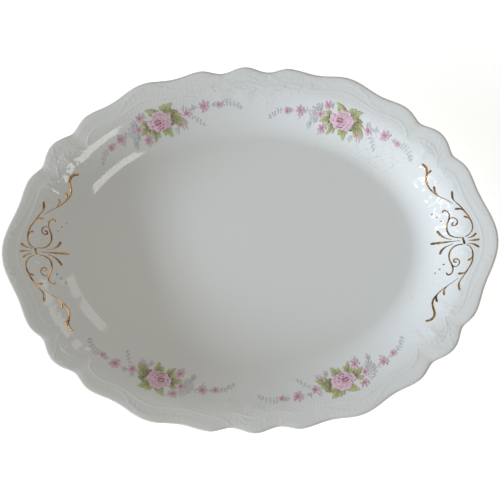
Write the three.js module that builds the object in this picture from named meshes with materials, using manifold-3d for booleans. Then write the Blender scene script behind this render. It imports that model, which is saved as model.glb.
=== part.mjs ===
// Oval china serving platter with a scalloped, moulded rim.
// The fired body is one solid. On its rim lie four floral transfers and, at each end,
// a gilt scroll made of nineteen separate strokes of gold.
// Millimetres. X is the long axis, Y the short axis, Z up. The foot stands on z = 0.
import * as THREE from "three";
import Module from "manifold-3d";

const wasm = await Module();
wasm.setup();

// ---- overall sizes ----
const platterLength = 342;
const platterWidth = 254;
const rimHeight = 34.6; // the rim's slope carried out to the base outline, above the table
const rimWidthAtEnds = 53; // base outline to the edge of the flat well, at the two ends
const rimWidthAtSides = 45.5; // the same, halfway along the sides

// ---- body wall and foot ring ----
const wallThickness = 4.6;
const lipThickness = 3.1;
const lipRound = 0.5; // how far the lip's top corner is rounded
const lipRoll = 0.5; // how far the rim rolls down towards the lip
const lipRollReach = 5.5; // how far in from the edge the roll begins
const lipReach = 5; // where the lip's underside has thickened to the full wall
const footHeight = 2.4;
const footWidth = 8;
const footOutside = 5; // how far of that width lies outside the edge of the well
const footBevel = 1.6;
const footEdgeRound = 0.5;
const wellHeight = footHeight + wallThickness; // top of the flat well, above the table

// ---- moulded relief ----
const cordFromEdge = 10.8; // raised cord, measured in from the scalloped edge
const cordHalfWidth = 1.1;
const cordHeight = 0.35;
const cordCurl = 3.6; // extra dip of the cord towards the well beside each notch
const cordCurlSpread = 4.5;
const furrowDepth = 0.35; // soft crease that runs in from each notch
const furrowHalfWidth = 4.5;
const furrowLength = 22;

// ---- applied decoration ----
const filmGap = 0.3; // every film stands this far off the glaze
const filmThickness = 0.2;
const nominalLength = 342; // the sizes that the gilding and the print are drawn for
const nominalWidth = 254;
const nominalCordFoot = 11.9; // where those drawings put the cord's inner foot
const decorScale = Math.min(
  platterLength / nominalLength,
  platterWidth / nominalWidth,
);

// Edge of the rim against the base outline, over one quarter from the end of the long
// axis to the end of the short axis: [share of the quarter, offset outwards, shape].
// A notch is a tight dip with a round bottom; a crown or a dip is a broad wave.
const scallopKeys = [
  [0, 3.2, "crown"],
  [0.155, -2, "dip"],
  [0.228, -0.8, "crown"],
  [0.286, -3.3, "notch"],
  [0.357, 0.9, "crown"],
  [0.428, -2.7, "notch"],
  [0.495, 0.8, "crown"],
  [0.568, -0.7, "dip"],
  [0.68, 2.7, "crown"],
  [0.783, -0.6, "dip"],
  [0.863, 0.9, "crown"],
  [0.929, -2.5, "dip"],
  [1, 0.8, "crown"],
];
const lastKey = scallopKeys.length - 1;
const notchRound = 0.22; // a notch's round bottom, as a share of the stretch beside it

// The base outline is the ellipse that the scallops swing about.
const baseX = platterLength / 2 - scallopKeys[0][1];
const baseY = platterWidth / 2 - scallopKeys[lastKey][1];

// ---- distance along the base outline ----
const arcSteps = 2880;
const arcTable = [0];
for (let i = 1; i <= arcSteps; i++) {
  const middle = ((i - 0.5) / arcSteps) * 2 * Math.PI;
  const step = (2 * Math.PI) / arcSteps;
  const speed = Math.hypot(baseX * Math.sin(middle), baseY * Math.cos(middle));
  arcTable.push(arcTable[i - 1] + speed * step);
}
const rimLength = arcTable[arcSteps];
const quarter = rimLength / 4;

// The ellipse's own angle at arc position s, counted from the +X end towards +Y.
function angleAt(s) {
  const wrapped = ((s % rimLength) + rimLength) % rimLength;
  let low = 0;
  let high = arcSteps;
  while (high - low > 1) {
    const middle = (low + high) >> 1;
    if (arcTable[middle] <= wrapped) low = middle;
    else high = middle;
  }
  const share = (wrapped - arcTable[low]) / (arcTable[high] - arcTable[low]);
  return ((low + share) / arcSteps) * 2 * Math.PI;
}

// Folds an arc position into a share of the first quarter, as both axes mirror the rim.
function quarterShare(s) {
  const wrapped = (((s / quarter) % 2) + 2) % 2;
  return wrapped > 1 ? 2 - wrapped : wrapped;
}

// Share of the wave covered at share t of the stretch that leaves a notch: slow at first.
function leaveNotch(t) {
  const gone = Math.hypot(t, notchRound) - notchRound;
  return gone / (Math.hypot(1, notchRound) - notchRound);
}

// Offset of the scalloped edge outwards from the base outline.
function scallop(s) {
  const share = quarterShare(s);
  let k = 0;
  while (k < lastKey - 1 && share > scallopKeys[k + 1][0]) k++;
  const [from, low, fromShape] = scallopKeys[k];
  const [to, high, toShape] = scallopKeys[k + 1];
  const t = (share - from) / (to - from);
  let blend = (1 - Math.cos(Math.PI * t)) / 2;
  if (fromShape === "notch") blend = Math.sin((Math.PI / 2) * leaveNotch(t));
  if (toShape === "notch") blend = 1 - Math.sin((Math.PI / 2) * leaveNotch(1 - t));
  return low + (high - low) * blend;
}

const notchShares = scallopKeys
  .filter((key) => key[2] === "notch")
  .map((key) => key[0]);

// Distance along the rim from s to the nearest notch.
function notchDistance(s) {
  const share = quarterShare(s);
  return Math.min(...notchShares.map((notch) => Math.abs(share - notch))) * quarter;
}

// Distance from the base outline in to the crest of the cord.
function cordLine(s) {
  const curl = cordCurl * Math.exp(-((notchDistance(s) / cordCurlSpread) ** 2));
  return cordFromEdge - scallop(s) + curl;
}

// ---- the rim's section: share w of the rim width, 0 on the base outline, 1 at the well ----
const flangeEnd = 0.25; // end of the gently sloping flange
const wallStart = 0.45; // start of the steep wall
const wallEnd = 0.66; // start of the cove that runs out into the well
const flangeSteepness = 0.27;
const wallSteepness = 0.8;

// Steepness of the section, before it is scaled to the depth of the dish.
function steepness(w) {
  if (w < flangeEnd) return flangeSteepness;
  if (w < wallStart) {
    const t = (w - flangeEnd) / (wallStart - flangeEnd);
    return flangeSteepness + (wallSteepness - flangeSteepness) * t;
  }
  if (w < wallEnd) return wallSteepness;
  if (w < 1) return (wallSteepness * (1 - w)) / (1 - wallEnd);
  return 0;
}

// The area under steepness() from 0 to w.
function fall(w) {
  const bend = ((flangeSteepness + wallSteepness) / 2) * (wallStart - flangeEnd);
  const flange = flangeSteepness * Math.min(w, flangeEnd);
  if (w <= flangeEnd) return flange;
  if (w <= wallStart) {
    return flange + ((flangeSteepness + steepness(w)) / 2) * (w - flangeEnd);
  }
  const wall = wallSteepness * (Math.min(w, wallEnd) - wallStart);
  if (w <= wallEnd) return flange + bend + wall;
  const reach = Math.min(w, 1);
  return flange + bend + wall + ((wallSteepness + steepness(reach)) / 2) * (reach - wallEnd);
}
const wholeFall = fall(1);

function rimWidth(s) {
  const c = Math.cos(angleAt(s));
  return rimWidthAtSides + (rimWidthAtEnds - rimWidthAtSides) * c * c;
}

// Height of the top surface d inside the base outline, without relief.
function topHeight(s, d) {
  const drop = fall(d / rimWidth(s)) / wholeFall;
  return rimHeight - (rimHeight - wellHeight) * drop;
}

// Downward slope of the top surface, towards the well.
function topSlope(s, d) {
  const width = rimWidth(s);
  return ((rimHeight - wellHeight) / wholeFall) * (steepness(d / width) / width);
}

function furrow(s, d) {
  const across = Math.exp(-((notchDistance(s) / furrowHalfWidth) ** 2));
  const along = THREE.MathUtils.clamp(1 - d / furrowLength, 0, 1);
  return -furrowDepth * across * along;
}

function edgeRoll(s, d) {
  const fromEdge = d + scallop(s);
  return -lipRoll * THREE.MathUtils.clamp(1 - fromEdge / lipRollReach, 0, 1) ** 2;
}

// A point d inside the base outline at height z.
function place(s, d, z) {
  const angle = angleAt(s);
  const nx = Math.cos(angle) / baseX;
  const ny = Math.sin(angle) / baseY;
  const length = Math.hypot(nx, ny);
  return new THREE.Vector3(
    baseX * Math.cos(angle) - (nx / length) * d,
    baseY * Math.sin(angle) - (ny / length) * d,
    z,
  );
}

// A point lifted squarely off the top surface.
function lifted(s, d, lift) {
  const slope = topSlope(s, d);
  const run = Math.hypot(1, slope);
  return place(s, d + (lift * slope) / run, topHeight(s, d) + lift / run);
}

// How much shorter than its arc position a step along the rim is, d inside the outline.
function rimShrink(s, d) {
  const angle = angleAt(s);
  const speed = Math.hypot(baseX * Math.sin(angle), baseY * Math.cos(angle));
  return 1 - (d * baseX * baseY) / speed ** 3;
}

// ---- meshes ----
function meshOf(name, vertices, triangles, material) {
  const geometry = new THREE.BufferGeometry().setFromPoints(vertices);
  geometry.setIndex(triangles);
  geometry.computeVertexNormals();
  const mesh = new THREE.Mesh(geometry, material);
  mesh.name = name;
  return mesh;
}

// ---- the body: rings round the rim, joined into one closed skin ----
// Even steps between neighbouring notches, so that each notch keeps its depth.
const stepsBetween = [
  [notchShares[0], 14],
  [notchShares[1] - notchShares[0], 8],
  [1 - notchShares[1], 28],
];
const quarterColumns = [];
let reached = 0;
for (const [span, steps] of stepsBetween) {
  for (let i = 0; i < steps; i++) {
    quarterColumns.push(reached + (span * i) / steps);
  }
  reached += span;
}
const halfColumns = [
  ...quarterColumns,
  1,
  ...quarterColumns.slice(1).reverse().map((column) => 2 - column),
];
const columns = [
  ...halfColumns.map((column) => column * quarter),
  ...halfColumns.map((column) => (column + 2) * quarter),
];
const everyColumn = 1;
const everySecondColumn = 2;

// Every ring is [inset(s), height(s, inset)], from the well out over the lip and under.
// The rings with little to show use every second column.
const share = (w) => (s) => w * rimWidth(s);
const top = (s, d) => topHeight(s, d) + furrow(s, d) + edgeRoll(s, d);
const below = (s, d) => {
  const steep = Math.hypot(1, topSlope(s, d));
  return topHeight(s, d) - wallThickness * steep;
};
const edge = (inset) => (s) => inset - scallop(s);
const fromCord = (offset) => (s) => cordLine(s) + offset;
const fromWell = (offset) => (s) => rimWidth(s) + offset;
const shoulder = 0.45; // share of the rim width where the rings stop following the cord
const afterCord = (t) => (s) => {
  const cordFoot = cordLine(s) + cordHalfWidth;
  return cordFoot + (shoulder * rimWidth(s) - cordFoot) * t;
};
const onTop = (inset) => [inset, top];
const under = (inset) => [inset, below];

const coveRings = [1, 0.93, 0.85].map(share).map(onTop);
const fineRings = [
  ...[0.77, 0.69, 0.61, 0.53, shoulder].map(share).map(onTop),
  ...[2 / 3, 1 / 3, 0].map(afterCord).map(onTop),
  [fromCord(0), (s, d) => top(s, d) + cordHeight],
  onTop(fromCord(-cordHalfWidth)),
  onTop((s) => (cordLine(s) - cordHalfWidth - scallop(s)) / 2),
  onTop(edge(lipRollReach / 2)),
  onTop(edge(3 * lipRound)),
  [edge(lipRound), (s, d) => top(s, d) - lipRound / 2],
  [edge(0), (s, d) => top(s, d) - lipThickness / 2],
  [edge(2 * lipRound), (s, d) => top(s, d) - lipThickness],
  under(edge(lipReach)),
];
const footFrom = -footOutside;
const footTo = footWidth - footOutside;
const underRings = [
  ...[0.3, 0.42, 0.55, 0.67, 0.8].map(share).map(under),
  [fromWell(footFrom), () => footHeight],
  [fromWell(footFrom + footBevel / 2), () => footEdgeRound],
  [fromWell(footFrom + footBevel), () => 0],
  [fromWell(footTo - footBevel), () => 0],
  [fromWell(footTo - footBevel / 2), () => footEdgeRound],
  [fromWell(footTo), () => footHeight],
];

function buildBody(material) {
  const vertices = [];
  const triangles = [];
  const addRing = ([inset, height], every) => {
    const first = vertices.length;
    for (let i = 0; i < columns.length; i += every) {
      const d = inset(columns[i]);
      vertices.push(place(columns[i], d, height(columns[i], d)));
    }
    return { first, count: vertices.length - first };
  };
  // Joins two rings, the first one inside or above the second.
  const join = (a, b) => {
    const count = Math.max(a.count, b.count);
    const stepA = a.count / count;
    const stepB = b.count / count;
    const at = (ring, step, i) => ring.first + (Math.floor(i * step) % ring.count);
    for (let i = 0; i < count; i++) {
      const a0 = at(a, stepA, i);
      const a1 = at(a, stepA, i + 1);
      const b0 = at(b, stepB, i);
      const b1 = at(b, stepB, i + 1);
      if (b0 !== b1) triangles.push(a0, b0, b1);
      if (a0 !== a1) triangles.push(a0, b1, a1);
    }
  };
  const cap = (ring, centre, facesUp) => {
    const middle = vertices.push(centre) - 1;
    for (let i = 0; i < ring.count; i++) {
      const p = ring.first + i;
      const q = ring.first + ((i + 1) % ring.count);
      if (facesUp) triangles.push(middle, p, q);
      else triangles.push(middle, q, p);
    }
  };
  const rings = [
    ...coveRings.map((ring) => addRing(ring, everySecondColumn)),
    ...fineRings.map((ring) => addRing(ring, everyColumn)),
    ...underRings.map((ring) => addRing(ring, everySecondColumn)),
  ];
  cap(rings[0], new THREE.Vector3(0, 0, wellHeight), true);
  for (let i = 1; i < rings.length; i++) join(rings[i - 1], rings[i]);
  cap(rings[rings.length - 1], new THREE.Vector3(0, 0, footHeight), false);
  return meshOf("platter_body", vertices, triangles, material);
}

// A drawn inset as a real one: the drawings keep their place beside the cord's inner foot.
function decorInset(d) {
  return cordFromEdge + cordHalfWidth + (d - nominalCordFoot) * decorScale;
}

// ---- gilt strokes ----
// A stroke follows points [u, d]: u along the rim from the end of the long axis, d in
// from the base outline. It starts at startWidth and swells or thins to endWidth.
// It is laid out flat as a ribbon, joined to its side strokes, then bent on to the rim.
const strokeSpacing = 1.9; // distance between the stations of a stroke
const fewestStations = 3;
const strokeTip = 0.35; // how much of the width is left at a stroke's rounded end

function ribbon({ points, startWidth, endWidth }) {
  const curve = new THREE.CatmullRomCurve3(
    points.map(([u, d]) => new THREE.Vector3(u * decorScale, decorInset(d), 0)),
    false,
    "centripetal",
  );
  const length = curve.getLength();
  const stations = Math.max(fewestStations, Math.ceil(length / strokeSpacing));
  const rounding = startWidth / 2 / length;
  const shares = [0];
  for (let i = 0; i <= stations; i++) {
    shares.push(rounding + ((1 - 2 * rounding) * i) / stations);
  }
  shares.push(1);
  const positions = [];
  shares.forEach((t, i) => {
    const centre = curve.getPointAt(t);
    const tangent = curve.getTangentAt(t);
    const shrink = rimShrink(centre.x, centre.y);
    const along = new THREE.Vector2(tangent.x * shrink, tangent.y).normalize();
    const isTip = i === 0 || i === shares.length - 1;
    const swell = startWidth + (endWidth - startWidth) * t * t;
    const half = (decorScale * swell * (isTip ? strokeTip : 1)) / 2;
    const acrossX = (-along.y * half) / shrink;
    const acrossY = along.x * half;
    for (const z of [0, 1]) {
      positions.push(centre.x + acrossX, centre.y + acrossY, z);
      positions.push(centre.x - acrossX, centre.y - acrossY, z);
    }
  });
  const triangles = [];
  // Corners of station i: 4i left low, 4i+1 right low, 4i+2 left high, 4i+3 right high.
  const loop = [0, 1, 3, 2];
  for (let i = 0; i < shares.length - 1; i++) {
    for (let k = 0; k < 4; k++) {
      const p = 4 * i + loop[k];
      const q = 4 * i + loop[(k + 1) % 4];
      triangles.push(p, p + 4, q, q, p + 4, q + 4);
    }
  }
  const end = 4 * (shares.length - 1);
  triangles.push(0, 1, 3, 0, 3, 2);
  triangles.push(end, end + 3, end + 1, end, end + 2, end + 3);
  return new wasm.Manifold(
    new wasm.Mesh({
      numProp: 3,
      vertProperties: new Float32Array(positions),
      triVerts: new Uint32Array(triangles),
    }),
  );
}

// Bends a flat figure on to the rim; its z runs from 0 under the film to 1 on top of it.
function bend(name, figure, startOfEnd, material) {
  const flat = figure.getMesh();
  const vertices = [];
  for (let i = 0; i < flat.numVert; i++) {
    const [u, d, z] = flat.vertProperties.subarray(i * flat.numProp, i * flat.numProp + 3);
    vertices.push(lifted(startOfEnd + u, d, filmGap + filmThickness * z));
  }
  return meshOf(name, vertices, [...flat.triVerts], material);
}

// Widths of the brush stroke.
const hairline = 0.7;
const fine = 0.9;
const curled = 1.4;
const leaf = 1.6;

// The scroll at the +X end. "back" is the half towards +Y.
const giltStrokes = {
  tie: [
    { points: [[-2.6, 19.3], [0.2, 18.9], [3, 19.4]], startWidth: curled, endWidth: curled },
  ],
  fan_outer_front: [
    { points: [[-2.2, 17.2], [-3.4, 13], [-5.8, 9.6]], startWidth: hairline, endWidth: leaf },
  ],
  fan_outer_middle: [
    { points: [[0.1, 16.8], [-0.1, 13], [0.3, 9.2]], startWidth: hairline, endWidth: leaf },
  ],
  fan_outer_back: [
    { points: [[2.1, 17], [3, 13.8], [5.4, 11]], startWidth: hairline, endWidth: leaf },
  ],
  fan_inner_front: [
    { points: [[-1.6, 25.5], [-4.6, 30.4], [-8, 32.6], [-12.3, 33.6]], startWidth: hairline,
      endWidth: leaf },
  ],
  fan_inner_middle: [
    { points: [[0.4, 21.6], [0.5, 30], [0.5, 39.6]], startWidth: fine, endWidth: 1.5 * leaf },
  ],
  fan_inner_back: [
    { points: [[2.2, 26.4], [4.8, 30.1], [8.8, 32.7], [14, 34.4]], startWidth: hairline, endWidth: leaf },
  ],
  ring_back: [
    {
      points: [[3.6, 17.7], [5, 15.4], [8.5, 13.4], [13, 12.8], [19, 13.8], [25, 15.6],
        [31, 17.4], [35, 18.8], [38.5, 19.3], [44.3, 17.6]],
      startWidth: fine,
      endWidth: leaf,
    },
    { points: [[15.8, 13.2], [18.6, 14.6], [20.8, 17]], startWidth: fine, endWidth: leaf },
    { points: [[24.4, 15.4], [27.6, 17.6], [29.2, 20.8]], startWidth: fine, endWidth: leaf },
  ],
  ring_front: [
    {
      points: [[-3.4, 17.6], [-5, 15.6], [-9, 14], [-14, 13.5], [-19, 14], [-25, 15.8],
        [-30, 17.2], [-35.5, 18.6], [-39.5, 18.2], [-43, 16.6]],
      startWidth: fine,
      endWidth: leaf,
    },
    { points: [[-12, 13.6], [-14.8, 14.4], [-17, 16.6]], startWidth: fine, endWidth: leaf },
    { points: [[-25, 15.8], [-28, 17.8], [-29.4, 21]], startWidth: fine, endWidth: leaf },
  ],
  volute_back: [
    {
      points: [[2.9, 21], [3.6, 24], [7, 27.2], [12.4, 28.4], [17.5, 27.8], [21.5, 26.2],
        [26, 24.9], [30, 25.4], [31.8, 27], [30.2, 28.3]],
      startWidth: fine,
      endWidth: curled,
    },
    {
      points: [[21.6, 26.2], [22.6, 23.6], [20.4, 21.8], [17.4, 21.5], [15, 23.1]],
      startWidth: fine,
      endWidth: curled,
    },
  ],
  volute_front: [
    {
      points: [[-2.4, 21], [-3.6, 24.4], [-7.4, 27], [-12.6, 28], [-17.8, 27.3], [-22, 25.6],
        [-26.4, 24.4], [-30.4, 24.8], [-32.2, 26.4], [-30.4, 27.9]],
      startWidth: fine,
      endWidth: curled,
    },
    {
      points: [[-22, 25.6], [-23.6, 23.6], [-21.6, 21.8], [-18.6, 21.5], [-16.2, 23],
        [-16.9, 24.8]],
      startWidth: fine,
      endWidth: curled,
    },
  ],
  plume_back: [
    {
      points: [[34, 20.6], [40, 23.1], [45, 25.6], [50.5, 27.3], [57, 28], [62.5, 27.4],
        [66.5, 25.4], [70, 23], [73.5, 22], [77.8, 22.2]],
      startWidth: hairline,
      endWidth: leaf,
    },
    { points: [[46.5, 26.2], [51.5, 26.4], [56.2, 25.2]], startWidth: fine, endWidth: leaf },
    { points: [[65.8, 25.8], [67.8, 23.8], [68.4, 20.6]], startWidth: fine, endWidth: leaf },
  ],
  plume_front: [
    {
      points: [[-33, 20.2], [-37, 22], [-42, 24.6], [-48, 27], [-55, 28.4], [-60.5, 28.4],
        [-65, 26.4], [-68.5, 23.8], [-72, 22.6], [-75.5, 22.9], [-79, 24.8]],
      startWidth: hairline,
      endWidth: leaf,
    },
    { points: [[-42.5, 24.8], [-47, 25.4], [-51.4, 24.2]], startWidth: fine, endWidth: leaf },
    { points: [[-52, 28], [-56, 27.6], [-59.4, 26]], startWidth: fine, endWidth: leaf },
  ],
};
// Three dots trail each volute, given for the back half and mirrored for the front.
const giltDots = [
  [22.6, 30.5],
  [28, 32.2],
  [33, 34.3],
];
const leftScrollShift = 1.8; // the left scroll was laid on this far off the long axis
const dotLength = 1.7;
const dotWidth = 1;
const dotSlant = 0.2; // how far each end of a dot leans out of line
giltDots.forEach(([u, d], i) => {
  for (const [half, side] of [["back", 1], ["front", -1]]) {
    giltStrokes[`dot_${half}_${i + 1}`] = [
      {
        points: [
          [side * (u - dotLength / 2), d - dotSlant],
          [side * (u + dotLength / 2), d + dotSlant],
        ],
        startWidth: dotWidth,
        endWidth: dotWidth,
      },
    ];
  }
});

function buildGilding(gold) {
  const meshes = [];
  const ends = [
    { end: "right", start: 0, halves: { back: "back", front: "front" } },
    { end: "left", start: 2 * quarter - leftScrollShift, halves: { back: "front", front: "back" } },
  ];
  for (const { end, start, halves } of ends) {
    for (const [stroke, parts] of Object.entries(giltStrokes)) {
      const figure = wasm.Manifold.union(parts.map(ribbon));
      const name = stroke.replace(/back|front/, (half) => halves[half]);
      meshes.push(bend(`gilt_${end}_${name}`, figure, start, gold));
    }
  }
  return meshes;
}

// ---- floral transfers ----
// Outline of the printed spray about the heart of its rose: distance along the rim, how
// far it reaches towards the edge, and how far towards the well.
const sprayOutline = [
  [-66, -0.5, 2],
  [-57, 2.5, 0.5],
  [-50, 3.5, 1],
  [-44, 3, 1.5],
  [-38, 5, 2],
  [-32, 5, 8],
  [-24, 5, 6],
  [-17, 4, 9.5],
  [-10, 8, 8],
  [-2, 7.5, 10.5],
  [5, 9.5, 9],
  [13, 6.5, 9.5],
  [19, 8, 11],
  [26, 4, 10],
  [34, 3.5, 4],
  [41, 1, 2],
  [46, 1, 3],
  [52, -0.5, 4],
  [58, -3.5, 6.5],
];
const sprayColumnStep = 3.2;
const sprayRows = 6;
const sprayLeastHalf = 0.4; // half-width left at the two tips

// Where each spray's rose sits: arc position as a share of a quarter, and inset.
const sprays = {
  back_right: { quarters: 0.667, inset: 24.3 },
  back_left: { quarters: 1.31, inset: 23.8 },
  front_left: { quarters: 2.679, inset: 25.3 },
  front_right: { quarters: 3.307, inset: 22.4 },
};

function buildSpray(name, { quarters, inset }, material) {
  const rimSide = new THREE.CatmullRomCurve3(
    sprayOutline.map(([u, outer]) => new THREE.Vector3(u, -outer, 0)),
  );
  const wellSide = new THREE.CatmullRomCurve3(
    sprayOutline.map(([u, , inner]) => new THREE.Vector3(u, inner, 0)),
  );
  const first = sprayOutline[0][0];
  const last = sprayOutline[sprayOutline.length - 1][0];
  const count = Math.round((last - first) / sprayColumnStep);
  const vertices = [];
  for (let i = 0; i <= count; i++) {
    const outer = rimSide.getPoint(i / count);
    const inner = wellSide.getPoint(i / count);
    const middle = (outer.y + inner.y) / 2;
    const half = Math.max((inner.y - outer.y) / 2, sprayLeastHalf);
    for (const lift of [filmGap, filmGap + filmThickness]) {
      for (let j = 0; j <= sprayRows; j++) {
        const across = middle + half * ((2 * j) / sprayRows - 1);
        const u = (outer.x + (inner.x - outer.x) * (j / sprayRows)) * decorScale;
        vertices.push(lifted(quarters * quarter + u, decorInset(inset + across), lift));
      }
    }
  }
  const triangles = [];
  const row = sprayRows + 1;
  // The outline of one cross-section: along the underside and back over the top.
  const loop = [];
  for (let j = 0; j < row; j++) loop.push(j);
  for (let j = row - 1; j >= 0; j--) loop.push(row + j);
  for (let i = 0; i < count; i++) {
    for (let k = 0; k < loop.length; k++) {
      const p = 2 * row * i + loop[k];
      const q = 2 * row * i + loop[(k + 1) % loop.length];
      triangles.push(p, q, p + 2 * row, q, q + 2 * row, p + 2 * row);
    }
  }
  const end = 2 * row * count;
  for (let j = 0; j < sprayRows; j++) {
    triangles.push(j, row + j, j + 1, j + 1, row + j, row + j + 1);
    triangles.push(end + j, end + j + 1, end + row + j);
    triangles.push(end + j + 1, end + row + j + 1, end + row + j);
  }
  return meshOf(`floral_transfer_${name}`, vertices, triangles, material);
}

// ---- the whole platter ----
const glazedChina = new THREE.MeshStandardMaterial({
  name: "glazed_china",
  color: 0xdedfdb,
  roughness: 0.12,
  metalness: 0,
});
const floralPrint = new THREE.MeshStandardMaterial({
  name: "floral_print",
  color: 0xc08fa4,
  roughness: 0.25,
  metalness: 0,
});
const gilding = new THREE.MeshStandardMaterial({
  name: "gilding",
  color: 0xb87a35,
  roughness: 0.22,
  metalness: 1,
});

const platter = new THREE.Group();
platter.name = "china_serving_platter";
platter.add(buildBody(glazedChina));
for (const [name, seat] of Object.entries(sprays)) {
  platter.add(buildSpray(name, seat, floralPrint));
}
platter.add(...buildGilding(gilding));

export default platter;
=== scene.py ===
"""Oval china serving platter: its moulded and glazed body, four floral transfers and gilding.

Sizes are millimetres until a mesh is made. X is the long axis, Y the short axis, Z up.
"""

from __future__ import annotations

import logging
import math
from collections.abc import Sequence
from dataclasses import dataclass, field
from enum import Enum

import bpy
import numpy as np
from mathutils import Matrix, Vector


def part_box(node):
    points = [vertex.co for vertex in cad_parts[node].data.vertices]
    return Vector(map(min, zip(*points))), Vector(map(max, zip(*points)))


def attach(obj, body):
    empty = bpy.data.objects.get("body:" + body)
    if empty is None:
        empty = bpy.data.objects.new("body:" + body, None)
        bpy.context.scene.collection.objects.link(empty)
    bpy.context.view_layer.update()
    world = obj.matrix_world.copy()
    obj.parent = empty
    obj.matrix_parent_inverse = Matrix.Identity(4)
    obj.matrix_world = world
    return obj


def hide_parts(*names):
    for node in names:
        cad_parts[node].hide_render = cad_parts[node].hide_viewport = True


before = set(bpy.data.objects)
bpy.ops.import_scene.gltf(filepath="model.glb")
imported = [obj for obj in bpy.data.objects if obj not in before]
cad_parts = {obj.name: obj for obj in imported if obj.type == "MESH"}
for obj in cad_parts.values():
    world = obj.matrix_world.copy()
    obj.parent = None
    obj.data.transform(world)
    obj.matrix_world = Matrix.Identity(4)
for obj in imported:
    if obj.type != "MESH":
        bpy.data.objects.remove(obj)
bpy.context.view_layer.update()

LOG = logging.getLogger("platter")
MM = 0.001
Array = np.ndarray


def linear(code: str) -> tuple[float, float, float, float]:
    """Turns an sRGB hex colour into linear red, green, blue and a full alpha.

    Args:
        code: Six hex digits.

    Returns:
        The linear colour.
    """
    levels = [int(code[i : i + 2], 16) / 255 for i in (0, 2, 4)]
    red, green, blue = (
        c / 12.92 if c <= 0.04045 else ((c + 0.055) / 1.055) ** 2.4 for c in levels
    )
    return (red, green, blue, 1.0)


def smooth_step(x: Array) -> Array:
    """Eases 0..1 with level ends: 3x^2 - 2x^3, clamped."""
    x = np.clip(x, 0.0, 1.0)
    return x * x * (3.0 - 2.0 * x)


def bell(x: Array) -> Array:
    """The bell curve exp(-x^2)."""
    return np.exp(-(x**2))


# ---------------------------------------------------------------------------
# The rim as a chart: distance along the outline and distance in from it
# ---------------------------------------------------------------------------


class KeyShape(Enum):
    """What the rim's edge does at a key of the scallop."""

    SMOOTH = 0
    NOTCH = 1


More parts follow.
